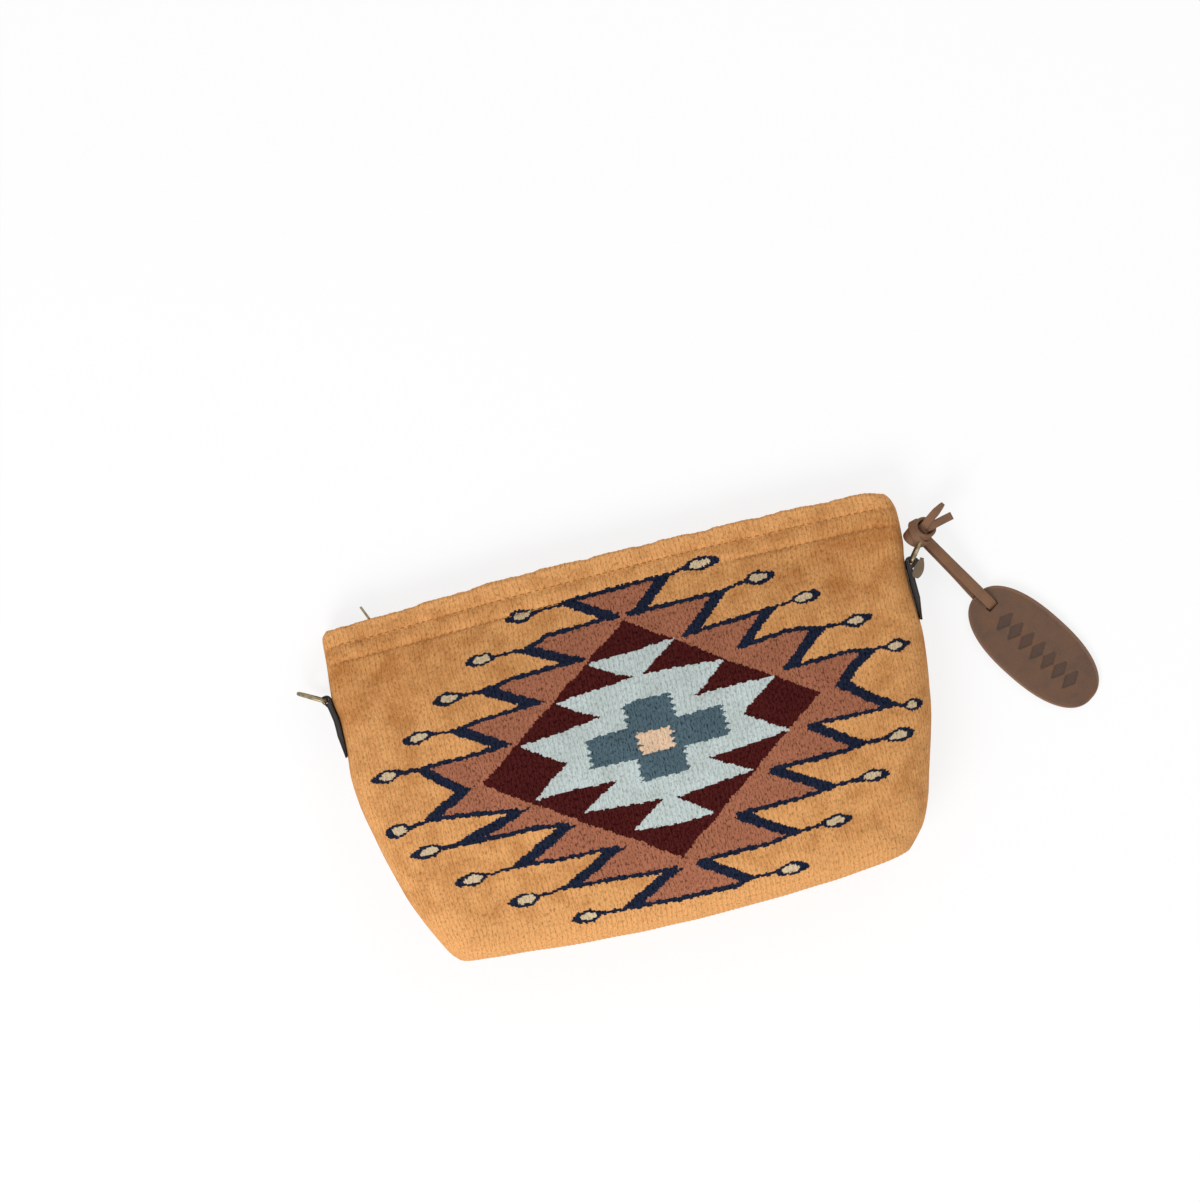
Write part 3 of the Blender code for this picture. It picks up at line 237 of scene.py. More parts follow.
class ClutchTrim(bpy.types.PropertyGroup):
    """Sizes of the ring, tag and thong."""

    ring_wire: FloatProperty(
        name="Ring wire", description="Diameter of the D-rings' wire", default=0.0018, min=0.001,
        max=0.003, unit="LENGTH", precision=4,
    )
    tag_length: FloatProperty(
        name="Tag length", description="Long way of the oval tag", default=0.068, min=0.04,
        max=0.09, unit="LENGTH", precision=4,
    )
    tag_width: FloatProperty(
        name="Tag width", description="Short way of the oval tag", default=0.033, min=0.02,
        max=0.05, unit="LENGTH", precision=4,
    )
    lozenges: IntProperty(
        name="Lozenges", description="Stamps along the tag", default=7, min=0, max=7
    )
    thong_width: FloatProperty(
        name="Thong width", description="Width of the flat lace", default=0.0055, min=0.003,
        max=0.008, unit="LENGTH", precision=4,
    )


def add_node(tree, kind, settings=None, inputs=None):
    """Adds a node, sets it, and links or fills its inputs."""
    made = tree.nodes.new(f"ShaderNode{kind}")
    for key, value in (settings or {}).items():
        setattr(made, key, value)
    for key, value in (inputs or {}).items():
        if isinstance(value, bpy.types.Node):
            value = value.outputs[0]
        if isinstance(value, bpy.types.NodeSocket):
            tree.links.new(value, made.inputs[key])
        else:
            made.inputs[key].default_value = value
    return made


def new_material(name):
    material = bpy.data.materials.new(name)
    material.use_nodes = True
    return material, material.node_tree, material.node_tree.nodes["Principled BSDF"]


def wool(name, colour, shade, depth=0.84, mottle=0.14):
    """Weft-faced wool tapestry: matt, felted by use, its soft ribs flecked with painted shadow."""
    material, tree, shader = new_material(name)
    weave = bpy.context.scene.clutch_weave
    place = add_node(tree, "UVMap", {"uv_map": "threads"})
    threads = add_node(tree, "SeparateXYZ", inputs={0: place})
    # Hand-set warps wander by about half a rib
    wander = add_node(tree, "TexNoise", inputs={"Vector": place, "Scale": 0.09, "Detail": 2.0})
    shifted = add_node(
        tree, "Math", {"operation": "MULTIPLY_ADD"}, {0: wander, 1: 2.6, 2: threads.outputs["X"]}
    )
    turns = add_node(tree, "Math", {"operation": "MULTIPLY"}, {0: shifted, 1: math.pi / weave.rib})
    wave = add_node(tree, "Math", {"operation": "SINE"}, {0: turns})
    rib = add_node(tree, "Math", {"operation": "ABSOLUTE"}, {0: wave})
    # Painted shade: the valleys between the ribs darken to depth times the colour
    rib_valley_shade = add_node(
        tree, "MapRange", inputs={"Value": rib, "From Max": 0.7, "To Min": depth, "To Max": 1.0}
    )
    # Gaps between beaten picks show as short dashes along the warp, 1.5 mm by 0.6 mm; their
    # darkening is painted shade
    dash_place = add_node(tree, "Mapping", inputs={"Vector": place, "Scale": (1.5, 0.62, 1.0)})
    dashes = add_node(
        tree, "TexNoise",
        inputs={
            "Vector": dash_place, "Scale": 1.0, "Detail": 3.0, "Roughness": 0.6, "Distortion": 0.3
        },
    )
    pick_gap_shade = add_node(
        tree, "MapRange",
        inputs={
            "Value": dashes, "From Min": 0.33, "From Max": 0.5, "To Min": 1 - mottle * 2.6,
            "To Max": 1.0
        },
    )
    # Fibres are about 0.03 mm thick; drawn ten times as coarse so that they show
    fibre_place = add_node(tree, "Mapping", inputs={"Vector": place, "Scale": (0.8, 1.3, 1.0)})
    fibres = add_node(
        tree, "TexNoise",
        inputs={
            "Vector": fibre_place, "Scale": 2.4, "Detail": 5.0, "Roughness": 0.75,
            "Distortion": 0.8
        },
    )
    fibre_tone = add_node(
        tree, "MapRange",
        inputs={
            "Value": fibres, "From Min": 0.3, "From Max": 0.7, "To Min": 1 - mottle * 1.2,
            "To Max": 1 + mottle
        },
    )
    # Painted shade of the ribs and pick gaps, times the fibres' own random tone
    shade_and_fibres = add_node(tree, "Math", {"operation": "MULTIPLY"}, {0: rib_valley_shade, 1: fibre_tone})
    tone = add_node(tree, "Math", {"operation": "MULTIPLY"}, {0: shade_and_fibres, 1: pick_gap_shade})
    # The ramp's dark end is the deepest painted shade; its bright end is the fibres' random
    # lighter tone
    ramp = add_node(tree, "ValToRGB", inputs={"Fac": tone})
    ramp.color_ramp.elements[0].position = 0.3
    ramp.color_ramp.elements[0].color = (*[c * 0.3 for c in shade], 1)
    ramp.color_ramp.elements[1].position = 1.0
    ramp.color_ramp.elements[1].color = (*[min(c * 1.3 + 0.012, 1.0) for c in colour], 1)
    middle = ramp.color_ramp.elements.new(0.82)
    middle.color = (*colour, 1)
    # Hanks dyed apart: browner patches of 8 to 20 mm. The attribute below adds painted shade under
    # the hem towards the zip ends and painted light on the rim and the base
    hanks = add_node(
        tree, "TexNoise", inputs={
            "Vector": place, "Scale": 0.085, "Detail": 4.0, "Roughness": 0.62
        }
    )
    soil = add_node(tree, "Attribute", {"attribute_name": "soil"})
    patches = add_node(
        tree, "MapRange",
        inputs={"Value": hanks, "From Min": 0.4, "From Max": 0.66, "To Min": 0.0, "To Max": 0.7},
    )
    # Random hank patches plus the painted shading: its painted shade browns the wool, its painted
    # light takes patches away
    browned = add_node(
        tree, "Math", {"operation": "ADD", "use_clamp": True}, {0: patches, 1: soil.outputs["Fac"]}
    )
    tint = [min(s / max(c, 1e-4), 1.0) for s, c in zip(shade, colour)]
    dyed = add_node(
        tree, "Mix", {"data_type": "RGBA", "blend_type": "MULTIPLY"},
        {0: browned, 6: ramp.outputs["Color"], 7: (*tint, 1)},
    )
    tree.links.new(dyed.outputs[2], shader.inputs["Base Color"])
    relief = add_node(tree, "Math", {"operation": "MULTIPLY_ADD"}, {0: dashes, 1: 1.2, 2: fibres})
    bump = add_node(
        tree, "Bump", inputs={"Height": relief, "Strength": 0.6, "Distance": 0.00032}
    )
    tree.links.new(bump.outputs["Normal"], shader.inputs["Normal"])
    shader.inputs["Roughness"].default_value = 0.95
    shader.inputs["IOR"].default_value = 1.54
    shader.inputs["Specular IOR Level"].default_value = 0.07
    shader.inputs["Sheen Weight"].default_value = 0.03
    shader.inputs["Sheen Roughness"].default_value = 0.6
    shader.inputs["Sheen Tint"].default_value = (*[min(1.0, c * 1.3 + 0.05) for c in colour], 1)
    return material


def leather(name, colour, grain_mm=0.8, roughness=0.52, worn=0.3):
    """Vegetable-tanned leather, waxed: soft highlights broken by grain, paler where rubbed."""
    material, tree, shader = new_material(name)
    place = add_node(tree, "TexCoord")
    where = place.outputs["Object"]
    cells = add_node(
        tree, "TexVoronoi", {"feature": "DISTANCE_TO_EDGE"},
        {"Vector": where, "Scale": 1000 / grain_mm, "Randomness": 1.0},
    )
    creases = add_node(tree, "MapRange", inputs={"Value": cells, "From Max": 0.12})
    mottle = add_node(
        tree, "TexNoise", inputs={"Vector": where, "Scale": 130.0, "Detail": 5.0, "Roughness": 0.6}
    )
    nap = add_node(tree, "TexNoise", inputs={"Vector": where, "Scale": 2600.0, "Detail": 3.0})
    dark = tuple(c * 0.62 for c in colour)
    pale = tuple(min(c * 1.5 + 0.02, 1.0) for c in colour)
    tone = add_node(tree, "ValToRGB", inputs={"Fac": mottle})
    tone.color_ramp.elements[0].position, tone.color_ramp.elements[1].position = 0.32, 0.7
    tone.color_ramp.elements[0].color = (*dark, 1)
    tone.color_ramp.elements[1].color = (*colour, 1)
    wear = add_node(tree, "Attribute", {"attribute_name": "wear"})
    rubbed = add_node(tree, "Math", {"operation": "MULTIPLY"}, {0: wear.outputs["Fac"], 1: worn})
    worn_at = add_node(
        tree, "Math", {"operation": "MULTIPLY", "use_clamp": True}, {0: rubbed, 1: 2.0}
    )
    surface = add_node(
        tree, "Mix", {"data_type": "RGBA"}, {0: worn_at, 6: tone.outputs["Color"], 7: (*pale, 1)}
    )
    # The die darkens what it presses; in the thong's slit the same darkening is painted shade
    pressed = add_node(tree, "Attribute", {"attribute_name": "pressed"})
    stamped = add_node(
        tree, "Mix", {"data_type": "RGBA", "blend_type": "MULTIPLY"},
        {0: pressed.outputs["Fac"], 6: surface.outputs[2], 7: (0.5, 0.46, 0.44, 1)},
    )
    tree.links.new(stamped.outputs[2], shader.inputs["Base Color"])
    gloss = add_node(
        tree, "MapRange",
        inputs={
            "Value": mottle, "From Min": 0.3, "From Max": 0.7, "To Min": roughness - 0.1,
            "To Max": roughness + 0.14
        },
    )
    tree.links.new(gloss.outputs[0], shader.inputs["Roughness"])
    height = add_node(tree, "Math", {"operation": "MULTIPLY_ADD"}, {0: nap, 1: 0.35, 2: creases})
    bump = add_node(tree, "Bump", inputs={"Height": height, "Strength": 0.5, "Distance": 0.00009})
    tree.links.new(bump.outputs["Normal"], shader.inputs["Normal"])
    shader.inputs["IOR"].default_value = 1.5
    return material


def brass(name, colour):
    """Antique-plated brass, drawn and tumbled: warm grey metal, browned in patches."""
    material, tree, shader = new_material(name)
    place = add_node(tree, "TexCoord")
    where = place.outputs["Object"]
    patches = add_node(
        tree, "TexNoise", inputs={
            "Vector": where, "Scale": 420.0, "Detail": 5.0, "Roughness": 0.65
        }
    )
    tarnish = add_node(tree, "ValToRGB", inputs={"Fac": patches})
    tarnish.color_ramp.elements[0].position, tarnish.color_ramp.elements[1].position = 0.38, 0.62
    tarnish.color_ramp.elements[0].color = (*[c * 0.45 for c in colour], 1)
    tarnish.color_ramp.elements[1].color = (*colour, 1)
    tree.links.new(tarnish.outputs["Color"], shader.inputs["Base Color"])
    rub = add_node(
        tree, "MapRange", inputs={
            "Value": patches, "From Min": 0.3, "From Max": 0.7, "To Min": 0.5, "To Max": 0.28
        }
    )
    tree.links.new(rub.outputs[0], shader.inputs["Roughness"])
    # Tumbling marks of about 0.2 mm
    marks = add_node(tree, "TexNoise", inputs={"Vector": where, "Scale": 5000.0, "Detail": 2.0})
    bump = add_node(tree, "Bump", inputs={"Height": marks, "Strength": 0.25, "Distance": 0.00004})
    tree.links.new(bump.outputs["Normal"], shader.inputs["Normal"])
    shader.inputs["Metallic"].default_value = 1.0
    return material


def cloth(name, colour, thread_mm=0.45, axes=("X", "Y")):
    """Plain-woven cotton: matt, with crossing threads."""
    material, tree, shader = new_material(name)
    place = add_node(tree, "TexCoord")
    parts = add_node(tree, "SeparateXYZ", inputs={0: place.outputs["Object"]})
    turns = math.pi / (thread_mm * MM)
    waves = []
    for axis in axes:
        turned = add_node(
            tree, "Math", {"operation": "MULTIPLY"}, {0: parts.outputs[axis], 1: turns}
        )
        waves.append(add_node(tree, "Math", {"operation": "SINE"}, {0: turned}))
    # Thread tops lighter and dips darker: painted light and shade; the slub noise is the yarn's
    # random tone
    crossing = add_node(tree, "Math", {"operation": "MULTIPLY"}, {0: waves[0], 1: waves[1]})
    slub = add_node(
        tree, "TexNoise", inputs={"Vector": place.outputs["Object"], "Scale": 700.0, "Detail": 3.0}
    )
    both = add_node(tree, "Math", {"operation": "MULTIPLY_ADD"}, {0: crossing, 1: 0.2, 2: slub})
    tone = add_node(tree, "ValToRGB", inputs={"Fac": both})
    tone.color_ramp.elements[0].position, tone.color_ramp.elements[1].position = 0.25, 0.75
    tone.color_ramp.elements[0].color = (*[c * 0.6 for c in colour], 1)
    tone.color_ramp.elements[1].color = (*[min(c * 1.1, 1) for c in colour], 1)
    tree.links.new(tone.outputs["Color"], shader.inputs["Base Color"])
    bump = add_node(tree, "Bump", inputs={"Height": both, "Strength": 0.5, "Distance": 0.00008})
    tree.links.new(bump.outputs["Normal"], shader.inputs["Normal"])
    shader.inputs["Roughness"].default_value = 0.9
    return material


def twisted_thread(name, colour):
    """Waxed twisted cotton: a fine diagonal twist, slightly glossy."""
    material, tree, shader = new_material(name)
    place = add_node(tree, "TexCoord")
    # Plies turn about once a millimetre
    twist = add_node(
        tree, "TexWave", {"wave_type": "BANDS", "bands_direction": "DIAGONAL"},
        {"Vector": place.outputs["Object"], "Scale": 900.0, "Distortion": 1.0},
    )
    # The twist's light and dark bands are painted light and shade on the plies
    tone = add_node(tree, "ValToRGB", inputs={"Fac": twist})
    tone.color_ramp.elements[0].color = (*[c * 0.55 for c in colour], 1)
    tone.color_ramp.elements[1].color = (*[min(c * 1.2, 1) for c in colour], 1)
    tree.links.new(tone.outputs["Color"], shader.inputs["Base Color"])
    bump = add_node(tree, "Bump", inputs={"Height": twist, "Strength": 0.6, "Distance": 0.00008})
    tree.links.new(bump.outputs["Normal"], shader.inputs["Normal"])
    shader.inputs["Roughness"].default_value = 0.65
    return material


def smooth(table, at):
    """A cubic through the table's (place, value) pairs, level beyond its ends, for an array."""
    pairs = np.array(sorted(table), float)
    x, y = pairs[:, 0], pairs[:, 1]
    slope = np.empty_like(y)
    slope[1:-1] = (y[2:] - y[:-2]) / (x[2:] - x[:-2])
    slope[0] = (y[1] - y[0]) / (x[1] - x[0])
    slope[-1] = (y[-1] - y[-2]) / (x[-1] - x[-2])
    at = np.clip(np.asarray(at, float), x[0], x[-1])
    i = np.clip(np.searchsorted(x, at) - 1, 0, len(x) - 2)
    width = x[i + 1] - x[i]
    t = (at - x[i]) / width
    return (
        y[i] * (1 + 2 * t) * (1 - t) ** 2
        + slope[i] * width * t * (1 - t) ** 2
        + y[i + 1] * t * t * (3 - 2 * t)
        - slope[i + 1] * width * t * t * (1 - t)
    )


def patch(u, v):
    """The bag's outline filled in: u from left to right, v from the zip edge to the base."""

    def side(edge):
        y = edge[0][0] + (edge[-1][0] - edge[0][0]) * v
        return smooth(edge, y), y

    def end(edge):
        x = edge[0][0] + (edge[-1][0] - edge[0][0]) * u
        return x, smooth(edge, x)

    sides, ends = (side(LEFT_EDGE), side(RIGHT_EDGE)), (end(TOP_EDGE), end(BASE_EDGE))
    corners = TOP_EDGE[0], TOP_EDGE[-1], BASE_EDGE[0], BASE_EDGE[-1]
    found = []
    for k in (0, 1):
        both = (corners[0][k] * (1 - u) + corners[1][k] * u) * (1 - v) + (
            corners[2][k] * (1 - u) + corners[3][k] * u
        ) * v
        found.append(
            sides[0][k] * (1 - u) + sides[1][k] * u + ends[0][k] * (1 - v) + ends[1][k] * v - both
        )
    return found


def turn(angle, power):
    """How far in, and how far up, a turn has come: both run from 0 to 1."""
    level, up = (np.maximum(wave(angle), 0) ** (2 / power) for wave in (np.cos, np.sin))
    return 1 - level, up


def surface(facing, rows, columns):
    """Points of the bag's front or back, in millimetres, over rows and columns.

    A row is (down, inset, rise): millimetres below the zip edge, millimetres in from the outside,
    and how far the turn into the base has risen. A column runs from 0 to 1 over the left side's
    turn, to 2 over the flat and to 3 over the right side's turn.
    """
    down, inset, rise_end = (np.asarray(rows[k], float)[:, None] for k in range(3))
    column = np.asarray(columns, float)[None, :]
    share = down / HEIGHT
    left, right = patch(0.0, share)[0], patch(1.0, share)[0]
    width = right - left
    depth = TOP_DEPTH + (BASE_DEPTH - TOP_DEPTH) * smooth(SIDE_RISE, share)
    crown = TOP_DEPTH + (BASE_DEPTH - TOP_DEPTH) * smooth(FRONT_RISE, share) - depth
    reach = SIDE_ROUND_SHARE * depth
    near = np.where(column < 1, column, np.where(column > 2, 3 - column, 1))
    in_by, rise_side = turn(np.clip(near, 0, 1) * math.pi / 2, SIDE_POWER)
    turned = inset + (reach - inset) * in_by
    flat = reach + (width - 2 * reach) * (column - 1)
    from_left = np.where(column < 1, turned, np.where(column > 2, width - turned, flat))
    rise_side = np.where((column >= 1) & (column <= 2), 1.0, rise_side)
    x, y = patch(from_left / width, share)
    nearest = np.clip((np.minimum(from_left, width - from_left) - inset) / BELLY_REACH, 0, 1)
    half = (depth / 2 - inset) * rise_side
    up = half + crown * nearest**2 * (3 - 2 * nearest) if facing == FRONT else -half
    return np.stack([x, y, depth / 2 + up * rise_end], axis=-1)


def base_row(turned):
    """A row within the turn into the base: 0 where it starts, 1 at the middle of the base."""
    in_by, rise = turn((1 - turned) ** 1.6 * math.pi / 2, BASE_POWER)
    return HEIGHT - BASE_ROUND * in_by, 0 * turned, rise


def spaced(line, step):
    """Places along a line of points, evenly spaced, as shares of its index."""
    along = np.concatenate([[0], np.cumsum(np.linalg.norm(np.diff(line, axis=0), axis=1))])
    count = int(round(along[-1] / step)) + 1
    return np.interp(np.linspace(0, along[-1], count), along, np.arange(len(line)))


def weave_rows(step):
    """Rows down the outside from the rim to the middle of the base, spaced along the cloth."""
    flat = np.linspace(RIM, HEIGHT - BASE_ROUND, 600)
    base = [base_row(np.array(t)) for t in np.linspace(0.002, 1, 300)]
    rows = np.array([(d, 0.0, 1.0) for d in flat] + base).T
    line = surface(FRONT, rows, [1.5])[:, 0]
    places = spaced(line, step)
    index = np.arange(rows.shape[1])
    return np.array([np.interp(places, index, row) for row in rows])


def weave_columns(step):
    """Columns across, spaced along the cloth at mid height."""
    fine = np.linspace(0, 3, 1500)
    line = surface(FRONT, np.array([[70.0], [0.0], [1.0]]), fine)[0]
    places = spaced(line, step)
    return np.interp(places, np.arange(len(fine)), fine)


def rim_rows():
    """Rows from deep inside the mouth, up the inner face and over the rim."""
    inner = [(d, WALL, 1.0) for d in (20.5, 17, 13.5, 10, 7, 4.5, 2.6)]
    over = []
    for step in range(9):
        angle = math.pi * (1 - step / 8)
        over.append((RIM * (1 - math.sin(angle)), WALL / 2 * (1 - math.cos(angle)), 1.0))
    return np.array(inner + over[:-1]).T


def ripple(a, b, scale, seed):
    """A smooth, unrepeating ripple between about -1 and 1."""
    total = 0.0
    for k in range(1, 5):
        angle = seed * 1.7 + k * 2.39
        wave = (a * math.cos(angle) + b * math.sin(angle)) * 2 * math.pi / scale * (0.6 + 0.35 * k)
        total = total + np.sin(wave + seed * 3.1 + k * k) / k
    return total / 1.6


def hashed(whole, seed):
    """A number from 0 to 1 for each whole number."""
    mixed = np.sin(whole * 12.9898 + seed * 78.233) * 43758.5453
    return mixed - np.floor(mixed)


def facing_out(points):
    """Unit normals of a grid of points, for rows that run down and columns that run right."""
    down = np.gradient(points, axis=0)
    right = np.gradient(points, axis=1)
    normal = np.cross(down, right)
    length = np.linalg.norm(normal, axis=-1, keepdims=True)
    return normal / np.maximum(length, 1e-9)


class Panel:
    """The front or back of the bag as a fine grid of cloth, with its threads' coordinates."""

    def __init__(self, facing, row_step, column_step):
        weave = bpy.context.scene.clutch_weave
        outer = weave_rows(row_step)
        rim = rim_rows()
        self.rim_count = rim.shape[1]
        rows = np.concatenate([rim, outer], axis=1)
        columns = weave_columns(column_step)
        grid = surface(facing, rows, columns)
        normal = facing_out(grid) * facing
        down = np.broadcast_to(rows[0][:, None], grid.shape[:2])
        middle = int(np.argmin(np.abs(grid[len(rows[0]) // 2, :, 0])))
        steps = np.linalg.norm(np.diff(grid, axis=1), axis=-1)
        across = np.concatenate([np.zeros((len(grid), 1)), np.cumsum(steps, axis=1)], axis=1)
        across -= across[:, middle : middle + 1]
        along = np.linalg.norm(np.diff(grid[:, middle], axis=0), axis=-1)
        along = np.concatenate([[0], np.cumsum(along)])
        along -= along[self.rim_count]
        self.threads = np.stack([across, np.broadcast_to(along[:, None], across.shape)], axis=-1)
        # Ribs over the warps
        rib = np.abs(np.sin(np.pi * across / weave.rib)) - 0.6
        height = rib * weave.relief / MM
        # The two stitched rows draw the folded hem in, and puff it between them
        places = np.arange(grid.shape[1])
        edge = np.minimum(places, places[::-1])[None, :] * column_step
        hem = np.clip((edge - 4) / 8, 0, 1)
        for number, row in enumerate(HEM_ROWS):
            wobble = 0.35 * ripple(across, across * 0, 90, 4 + number)
            off = down - row - wobble
            pinch = 0.75 + 0.25 * np.cos(2 * np.pi * across / weave.stitch_pitch)
            height = height - 0.85 * np.exp(-((off / 0.95) ** 2)) * pinch * hem
            height = height + 0.22 * np.exp(-(((off + 3.2) / 2.2) ** 2)) * hem
        height = height + 0.25 * np.exp(-(((down - 12.1) / 2.4) ** 2)) * hem
        height = height + 0.16 * ripple(across, down, 11, 2) * np.exp(-((down / 17) ** 4))
        # Soft dents of slack cloth
        height = height + weave.slack / MM * (
            0.7 * ripple(grid[..., 0], grid[..., 1], 95, 1) + 0.3 * ripple(
                grid[..., 0], grid[..., 1], 34, 3
            )
        )
        if facing == FRONT:
            height = height + self.creases(grid)
        foot = np.arange(grid.shape[0])[::-1][:, None] * row_step
        fade = np.clip(edge / 2.5, 0, 1) * np.clip(foot / 2.5, 0, 1)
        fade = fade * np.clip((np.arange(grid.shape[0])[:, None] - 1) / 6, 0, 1)
        moved = grid + normal * (height * fade)[..., None]
        lift = 0.3 * ripple(across, across * 0, 26, 6) + 0.15 * ripple(across, across * 0, 7, 8)
        moved[..., 1] += lift * np.exp(-((down / 3.0) ** 2)) * np.clip(edge / 8, 0, 1)
        if facing == BACK:
            moved[..., 2] = np.maximum(moved[..., 2], 0.0)
        # Painted shade darkens the slopes below the hem towards the zip ends; painted light keeps
        # the rim and the base paler
        far = np.clip((np.abs(across) - 40) / 60, 0, 1)
        by_rim = np.exp(-((down / 4.5) ** 2))
        self.soil = 0.4 * far * np.exp(-(((down - 26) / 20) ** 2)) - 0.35 * by_rim
        self.soil = self.soil - 0.5 * np.clip((down - 138) / 16, 0, 1)
        self.facing, self.down = facing, down
        self.points = moved * MM
        self.normals = facing_out(moved) * facing

    @staticmethod
    def creases(grid):
        """Folds pressed into the front near the base's corners."""
        x, y = grid[..., 0], grid[..., 1]
        total = 0.0
        for (x0, y0), (x1, y1), deep, wide in (
            ((-101, -76), (-86, -62), 1.3, 3.2), ((104, -77), (91, -64), 0.9, 3.4),
        ):
            length = math.hypot(x1 - x0, y1 - y0)
            along = ((x - x0) * (x1 - x0) + (y - y0) * (y1 - y0)) / length
            off = ((x - x0) * (y1 - y0) - (y - y0) * (x1 - x0)) / length
            reach = np.exp(-((np.maximum(along - length, 0) / 6) ** 2)) * (along > -6)
            total = total - deep * np.exp(-((off / wide) ** 2)) * reach
        return total

    def spot(self, across, down):
        """The point and normal on the outside, by thread coordinate and distance below the zip."""
        rows = np.arange(self.rim_count, len(self.down))
        row = rows[int(np.argmin(np.abs(self.down[rows, 0] - down)))]
        column = int(np.argmin(np.abs(self.threads[row, :, 0] - across)))
        return Vector(self.points[row, column]), Vector(self.normals[row, column])


def inside(x, y, outline):
    """Which of the points lie inside an outline."""
    found = np.zeros(x.shape, bool)
    count = len(outline)
    for i in range(count):
        (x0, y0), (x1, y1) = outline[i], outline[(i + 1) % count]
        if y0 == y1:
            continue
        crosses = ((y0 > y) != (y1 > y)) & (x < (x1 - x0) * (y - y0) / (y1 - y0) + x0)
        found ^= crosses
    return found


def near_line(x, y, line, reach):
    """Which of the points lie within a distance of a line."""
    found = np.zeros(x.shape, bool)
    for (x0, y0), (x1, y1) in zip(line, line[1:]):
        dx, dy = x1 - x0, y1 - y0
        t = np.clip(((x - x0) * dx + (y - y0) * dy) / (dx * dx + dy * dy), 0, 1)
        found |= (x - x0 - t * dx) ** 2 + (y - y0 - t * dy) ** 2 < reach**2
    return found


def slanted_bar(x, y, line, thick):
    """Which of the points lie in a bar of tapestry, cut level at its ends as wefts cut it."""
    found = np.zeros(x.shape, bool)
    for (x0, y0), (x1, y1) in zip(line, line[1:]):
        half = thick / 2 * math.hypot(x1 - x0, y1 - y0) / max(abs(y1 - y0), 1e-6)
        low, high = min(y0, y1) - 0.7, max(y0, y1) + 0.5
        at = x0 + (x1 - x0) * (y - y0) / (y1 - y0)
        found |= (y > low) & (y < high) & (np.abs(x - at) < half)
    return found


def tapestry(x, y, z, across, along):
    """The number of the wool at each face of the front, laid pick by pick."""
    # The drawing's scale holds at its own height; cloth nearer the camera looks larger
    nearer = (CAMERA_UP - DRAWN_UP) / (CAMERA_UP - z * MM)
    over_x, over_y = (c / MM for c in CAMERA_OVER)
    x, y = over_x + (x - over_x) * nearer, over_y + (y - over_y) * nearer
    weave = bpy.context.scene.clutch_weave
    rib = np.floor(across / weave.rib)
    pick = np.floor(along / weave.pick + 0.5 * (rib % 2))
    pick_middle = (pick + 0.5 - 0.5 * (rib % 2)) * weave.pick
    y = y - (pick_middle - along) * 0.6
    y = y + 0.35 * ripple(x, y, 31, 11) + 0.25 * ripple(x, y, 5, 13)
    y = y + 0.25 * (hashed(pick, 1) - 0.5)
    x = x + 0.5 * ripple(x, y, 23, 12) + 0.3 * ripple(x, y, 4.5, 14)
    x = x + 0.8 * (hashed(pick, 2) - 0.5)
    toothed = x + 1.9 * (2 * np.abs(along / 2.8 % 1 - 0.5) - 0.5) + 0.4 * (hashed(pick, 3) - 0.5)
    wool_at = np.full(x.shape, OCHRE)
    wool_at[inside(x, y, ZIGZAG)] = TERRACOTTA
    navy = np.zeros(x.shape, bool)
    for line in THICK:
        navy |= slanted_bar(x, y, line, BAR_THICK)
    for line in THIN:
        navy |= near_line(x, y, line, LINE_HALF)
    diamond = inside(x, y, DIAMOND)
    for ex, ey, long, high, start in EYES:
        way = 1 if ex > start[0] else -1
        navy |= near_line(x, y, [start, (ex - way * (long - 1.5), ey)], STEM_HALF)
        a, b = (x - ex) * way, y - ey
        navy |= np.abs(a / (long + 0.8)) ** 1.4 + np.abs(b / (high + 0.25)) ** 1.75 < 1
    wool_at[navy] = NAVY
    wool_at[diamond] = MAROON
    wool_at[inside(x, y, STAR)] = PALE_BLUE
    wool_at[inside(toothed, y, CROSS)] = SLATE
    wool_at[inside(toothed, y, CENTRE)] = PEACH
    for ex, ey, long, high, start in EYES:
        way = 1 if ex > start[0] else -1
        a, b = (x - ex) * way + 0.7, y - ey
        wool_at[np.abs(a / (0.6 * long)) ** 2 + np.abs(b / (high - 1.1)) ** 2 < 1] = CREAM
    return wool_at


def cloth_piece(name, panel, chosen, material, nodes):
    """A piece of the panel's grid: the faces chosen, sharing the whole cloth's normals."""
    rows, columns = panel.points.shape[:2]
    r, c = np.nonzero(chosen)
    corner = r * columns + c
    quads = np.stack([corner, corner + columns, corner + columns + 1, corner + 1], axis=1)
    if panel.facing == BACK:
        quads = quads[:, ::-1]
    used, renumbered = np.unique(quads, return_inverse=True)
    quads = renumbered.reshape(quads.shape)
    mesh = bpy.data.meshes.new(name)
    mesh.from_pydata(panel.points.reshape(-1, 3)[used], [], quads.tolist())
    threads = mesh.uv_layers.new(name="threads")
    flat = panel.threads.reshape(-1, 2)[used][quads.ravel()]
    threads.data.foreach_set("uv", flat.astype(np.float32).ravel())
    # Painted shade and painted light for each point, from the panel
    soil = mesh.attributes.new("soil", "FLOAT", "POINT")
    soil.data.foreach_set("value", panel.soil.ravel()[used].astype(np.float32))
    mesh.polygons.foreach_set("use_smooth", np.ones(len(quads), bool))
    mesh.normals_split_custom_set_from_vertices(panel.normals.reshape(-1, 3)[used])
    mesh.materials.append(material)
    obj = bpy.data.objects.new(name, mesh)
    bpy.context.scene.collection.objects.link(obj)
    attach(obj, "bag")
    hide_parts(*nodes)
    return obj


